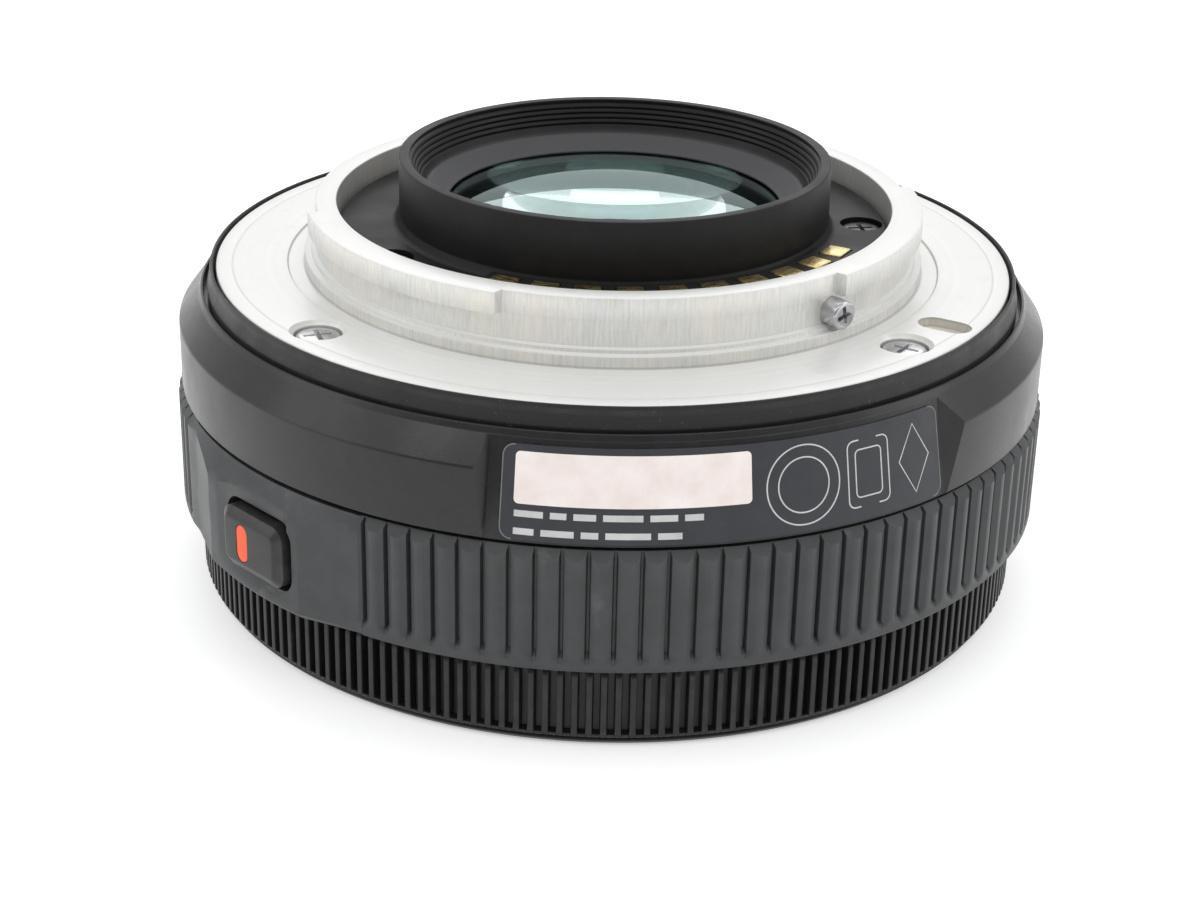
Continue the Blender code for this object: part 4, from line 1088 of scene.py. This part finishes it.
def optics():
    """Seven elements, and the smooth cells that hold them."""
    for values in ELEMENTS:
        element(*values)
    rear = filleted([
        (14.2, 26.75, 0.1), (14.2, 21.3, 0.2), (16.2, 20.2, 0.2), (16.2, 12.1, 0.1), (15.5, 12.1),
        (15.5, 18.6), (8.3, 18.6), (8.3, 15.25), (7.35, 15.25), (7.35, 19.05),
        (6.6, 19.05), (6.6, 19.3), (9.75, 19.3), (9.75, 21.6), (13.15, 21.6),
        (13.15, 26.6), (12.85, 26.6), (12.85, 26.75, 0.05),
    ], 3)
    show_ring("rear_lens_cell", rear, "chassis_black", "rear_cell", "focus_carriage", 180)
    steps = []
    for i in range(5):
        r = 11.3 - 0.56 * i
        z = 3.45 + 0.3 * i
        steps += [(r, z, 0.03), (r - 0.1, z + 0.22, 0.03)]
    front = filleted([
        (15.3, 11.95), (15.3, 10.9), (12.0, 10.9), (12.0, 3.4, 0.12),
        (11.45, 3.4, 0.08), *steps, (8.6, 4.95, 0.05), (8.6, 6.0), (7.55, 6.0),
        (7.55, 7.45), (7.05, 7.45), (7.05, 11.95),
    ], 3)
    show_ring("front_lens_cell", front, "chassis_black", "front_cell", "focus_carriage", 180)
    retainer = filleted([(8.4, 5.85), (8.4, 5.3, 0.06), (7.6, 5.0, 0.1), (6.9, 5.55, 0.06),
                         (6.9, 5.85)], 3)
    show_ring("front_lens_retainer", retainer, "baffle_black", "front_retainer", "focus_carriage", 180)


# --- front side

def front_side():
    """Front bezel with the filter thread's turns, and the plain conical ring inside it."""
    thread = []
    turns = 5
    for i in range(turns):
        z = 0.55 + 0.5 * i
        thread += [(19.5, z), (19.72, z + 0.25)]
    corners = [(27.4, 1.6, 0.1), (27.4, 0.5), (29.2, 0.5, 0.03), (29.3, 0.35, 0.06),
               (28.95, 0.0, 0.12), (20.1, 0.0, 0.1), (19.5, 0.35, 0.08), *thread, (19.5, 3.15),
               (12.4, 3.15, 0.05), (12.4, 3.9), (21.0, 3.9), (21.0, 1.6, 0.1)]
    show_ring("bezel", filleted(corners, 3), "ring_black", "front_bezel")
    plain = filleted([(19.2, 3.0), (19.2, 2.3, 0.06), (12.6, 2.75, 0.06), (12.6, 3.0)], 3)
    show_ring("trim_ring", plain, "barrel_black", "name_ring", steps=240)


# --- marks on the far side

def far_marks():
    """Red mounting bead and white aperture index line on the barrel's chamfer."""
    slope = math.atan2(BARREL_R - CHAMFER_R, CHAMFER_Z - SHOULDER_Z)
    normal = polar(math.cos(slope), BEAD_ANGLE, math.sin(slope))
    centre = polar((BARREL_R + CHAMFER_R) / 2, BEAD_ANGLE, (CHAMFER_Z + SHOULDER_Z) / 2)
    bead = rod_mesh("mount_bead", 0.74, centre - normal * 0.35, centre + normal * 0.12, 40, None, 0.12)
    show("mount_bead", bead, "mark_red", replaces=["index_dot"])
    profile = [(30.725, 18.9), (30.725, 15.2), (30.6, 15.2), (30.6, 18.9)]
    line = sector("aperture_index", profile, *INDEX_SPAN, 4)
    show("aperture_index", line, "mark_white")


# --- studio

def studio():
    """Pale floor, soft lights and the camera at the viewing angle."""
    scene = bpy.context.scene
    floor = bpy.data.meshes.new("floor")
    half = 3.0
    floor.from_pydata([(-half, -half, 0), (half, -half, 0), (half, half, 0), (-half, half, 0)], [],
                      [(0, 1, 2, 3)])
    piece = link("floor", floor)
    piece.location.z = -0.00005
    nodes = Nodes("floor", (0.90, 0.90, 0.90), 0.55, 0.0, 0.2)
    nodes.set("Emission Color", (1.0, 1.0, 1.0, 1.0))
    nodes.set("Emission Strength", 0.42)
    nodes.relief(nodes.noise(900.0, 2.0), 4e-6)
    nodes.blend_colour(nodes.ramp(nodes.noise(6.0, 3.0), 0.3, 0.7, 0.0, 0.15), (0.87, 0.88, 0.89))
    floor.materials.append(nodes.material)

    world = bpy.data.worlds.new("studio")
    scene.world = world
    world.use_nodes = True
    tree = world.node_tree
    where = tree.nodes.new("ShaderNodeTexCoord").outputs["Generated"]
    facing = tree.nodes.new("ShaderNodeVectorMath")
    facing.operation = "DOT_PRODUCT"
    facing.inputs[1].default_value = (0.0, -0.75, 0.66)
    tree.links.new(where, facing.inputs[0])
    dim = tree.nodes.new("ShaderNodeMapRange")
    dim.interpolation_type = "SMOOTHSTEP"
    for name, value in (("From Min", 0.25), ("From Max", 0.95), ("To Min", 0.84), ("To Max", 0.38)):
        dim.inputs[name].default_value = value
    tree.links.new(facing.outputs["Value"], dim.inputs["Value"])
    tree.nodes["Background"].inputs[0].default_value = (0.98, 0.99, 1.0, 1.0)
    tree.links.new(dim.outputs["Result"], tree.nodes["Background"].inputs[1])

    def softbox(name, place, size, power, colour=(1.0, 1.0, 1.0)):
        light = bpy.data.lights.new(name, "AREA")
        light.shape = "RECTANGLE"
        light.size, light.size_y = size
        light.energy = power
        light.color = colour
        obj = link(name, light)
        obj.location = place
        obj.rotation_euler = (Vector((0, 0, 0.02)) - Vector(place)).to_track_quat("-Z", "Y").to_euler()
        obj.visible_camera = False

    softbox("overhead", (0.0, 0.20, 0.80), (0.55, 0.30), 0.4, (1.0, 0.99, 0.96))
    softbox("strip", (0.0, -0.45, 0.70), (1.60, 0.16), 2.6)
    softbox("behind", (0.0, 0.70, 0.42), (0.42, 0.20), 0.5)
    softbox("left", (-0.75, -0.10, 0.42), (0.35, 0.55), 0.8)
    softbox("right", (0.75, -0.05, 0.40), (0.35, 0.55), 0.9)

    camera = bpy.data.cameras.new("camera")
    camera.lens = 69.0
    camera.sensor_width = 36.0
    camera.clip_start = 0.005
    view = link("camera", camera)
    elevation = math.radians(24.05)
    roll = math.radians(1.30)
    back = Vector((0.0, -math.cos(elevation), math.sin(elevation)))
    level_up = Vector((0.0, math.sin(elevation), math.cos(elevation)))
    right = Vector((math.cos(roll), 0, 0)) + level_up * math.sin(roll)
    up = level_up * math.cos(roll) - Vector((math.sin(roll), 0, 0))
    turn = Matrix((right, up, back)).transposed().to_4x4()
    view.matrix_world = moved((-0.601, -155.68, 77.05)) @ turn
    scene.camera = view
    scene.view_settings.view_transform = "Standard"
    scene.view_settings.look = "None"


dress_nodes()
mount()
fasteners()
seal()
barrel()
label()
aperture_ring()
lock_button()
focus_ring()
baffle()
contacts()
optics()
front_side()
far_marks()
studio()
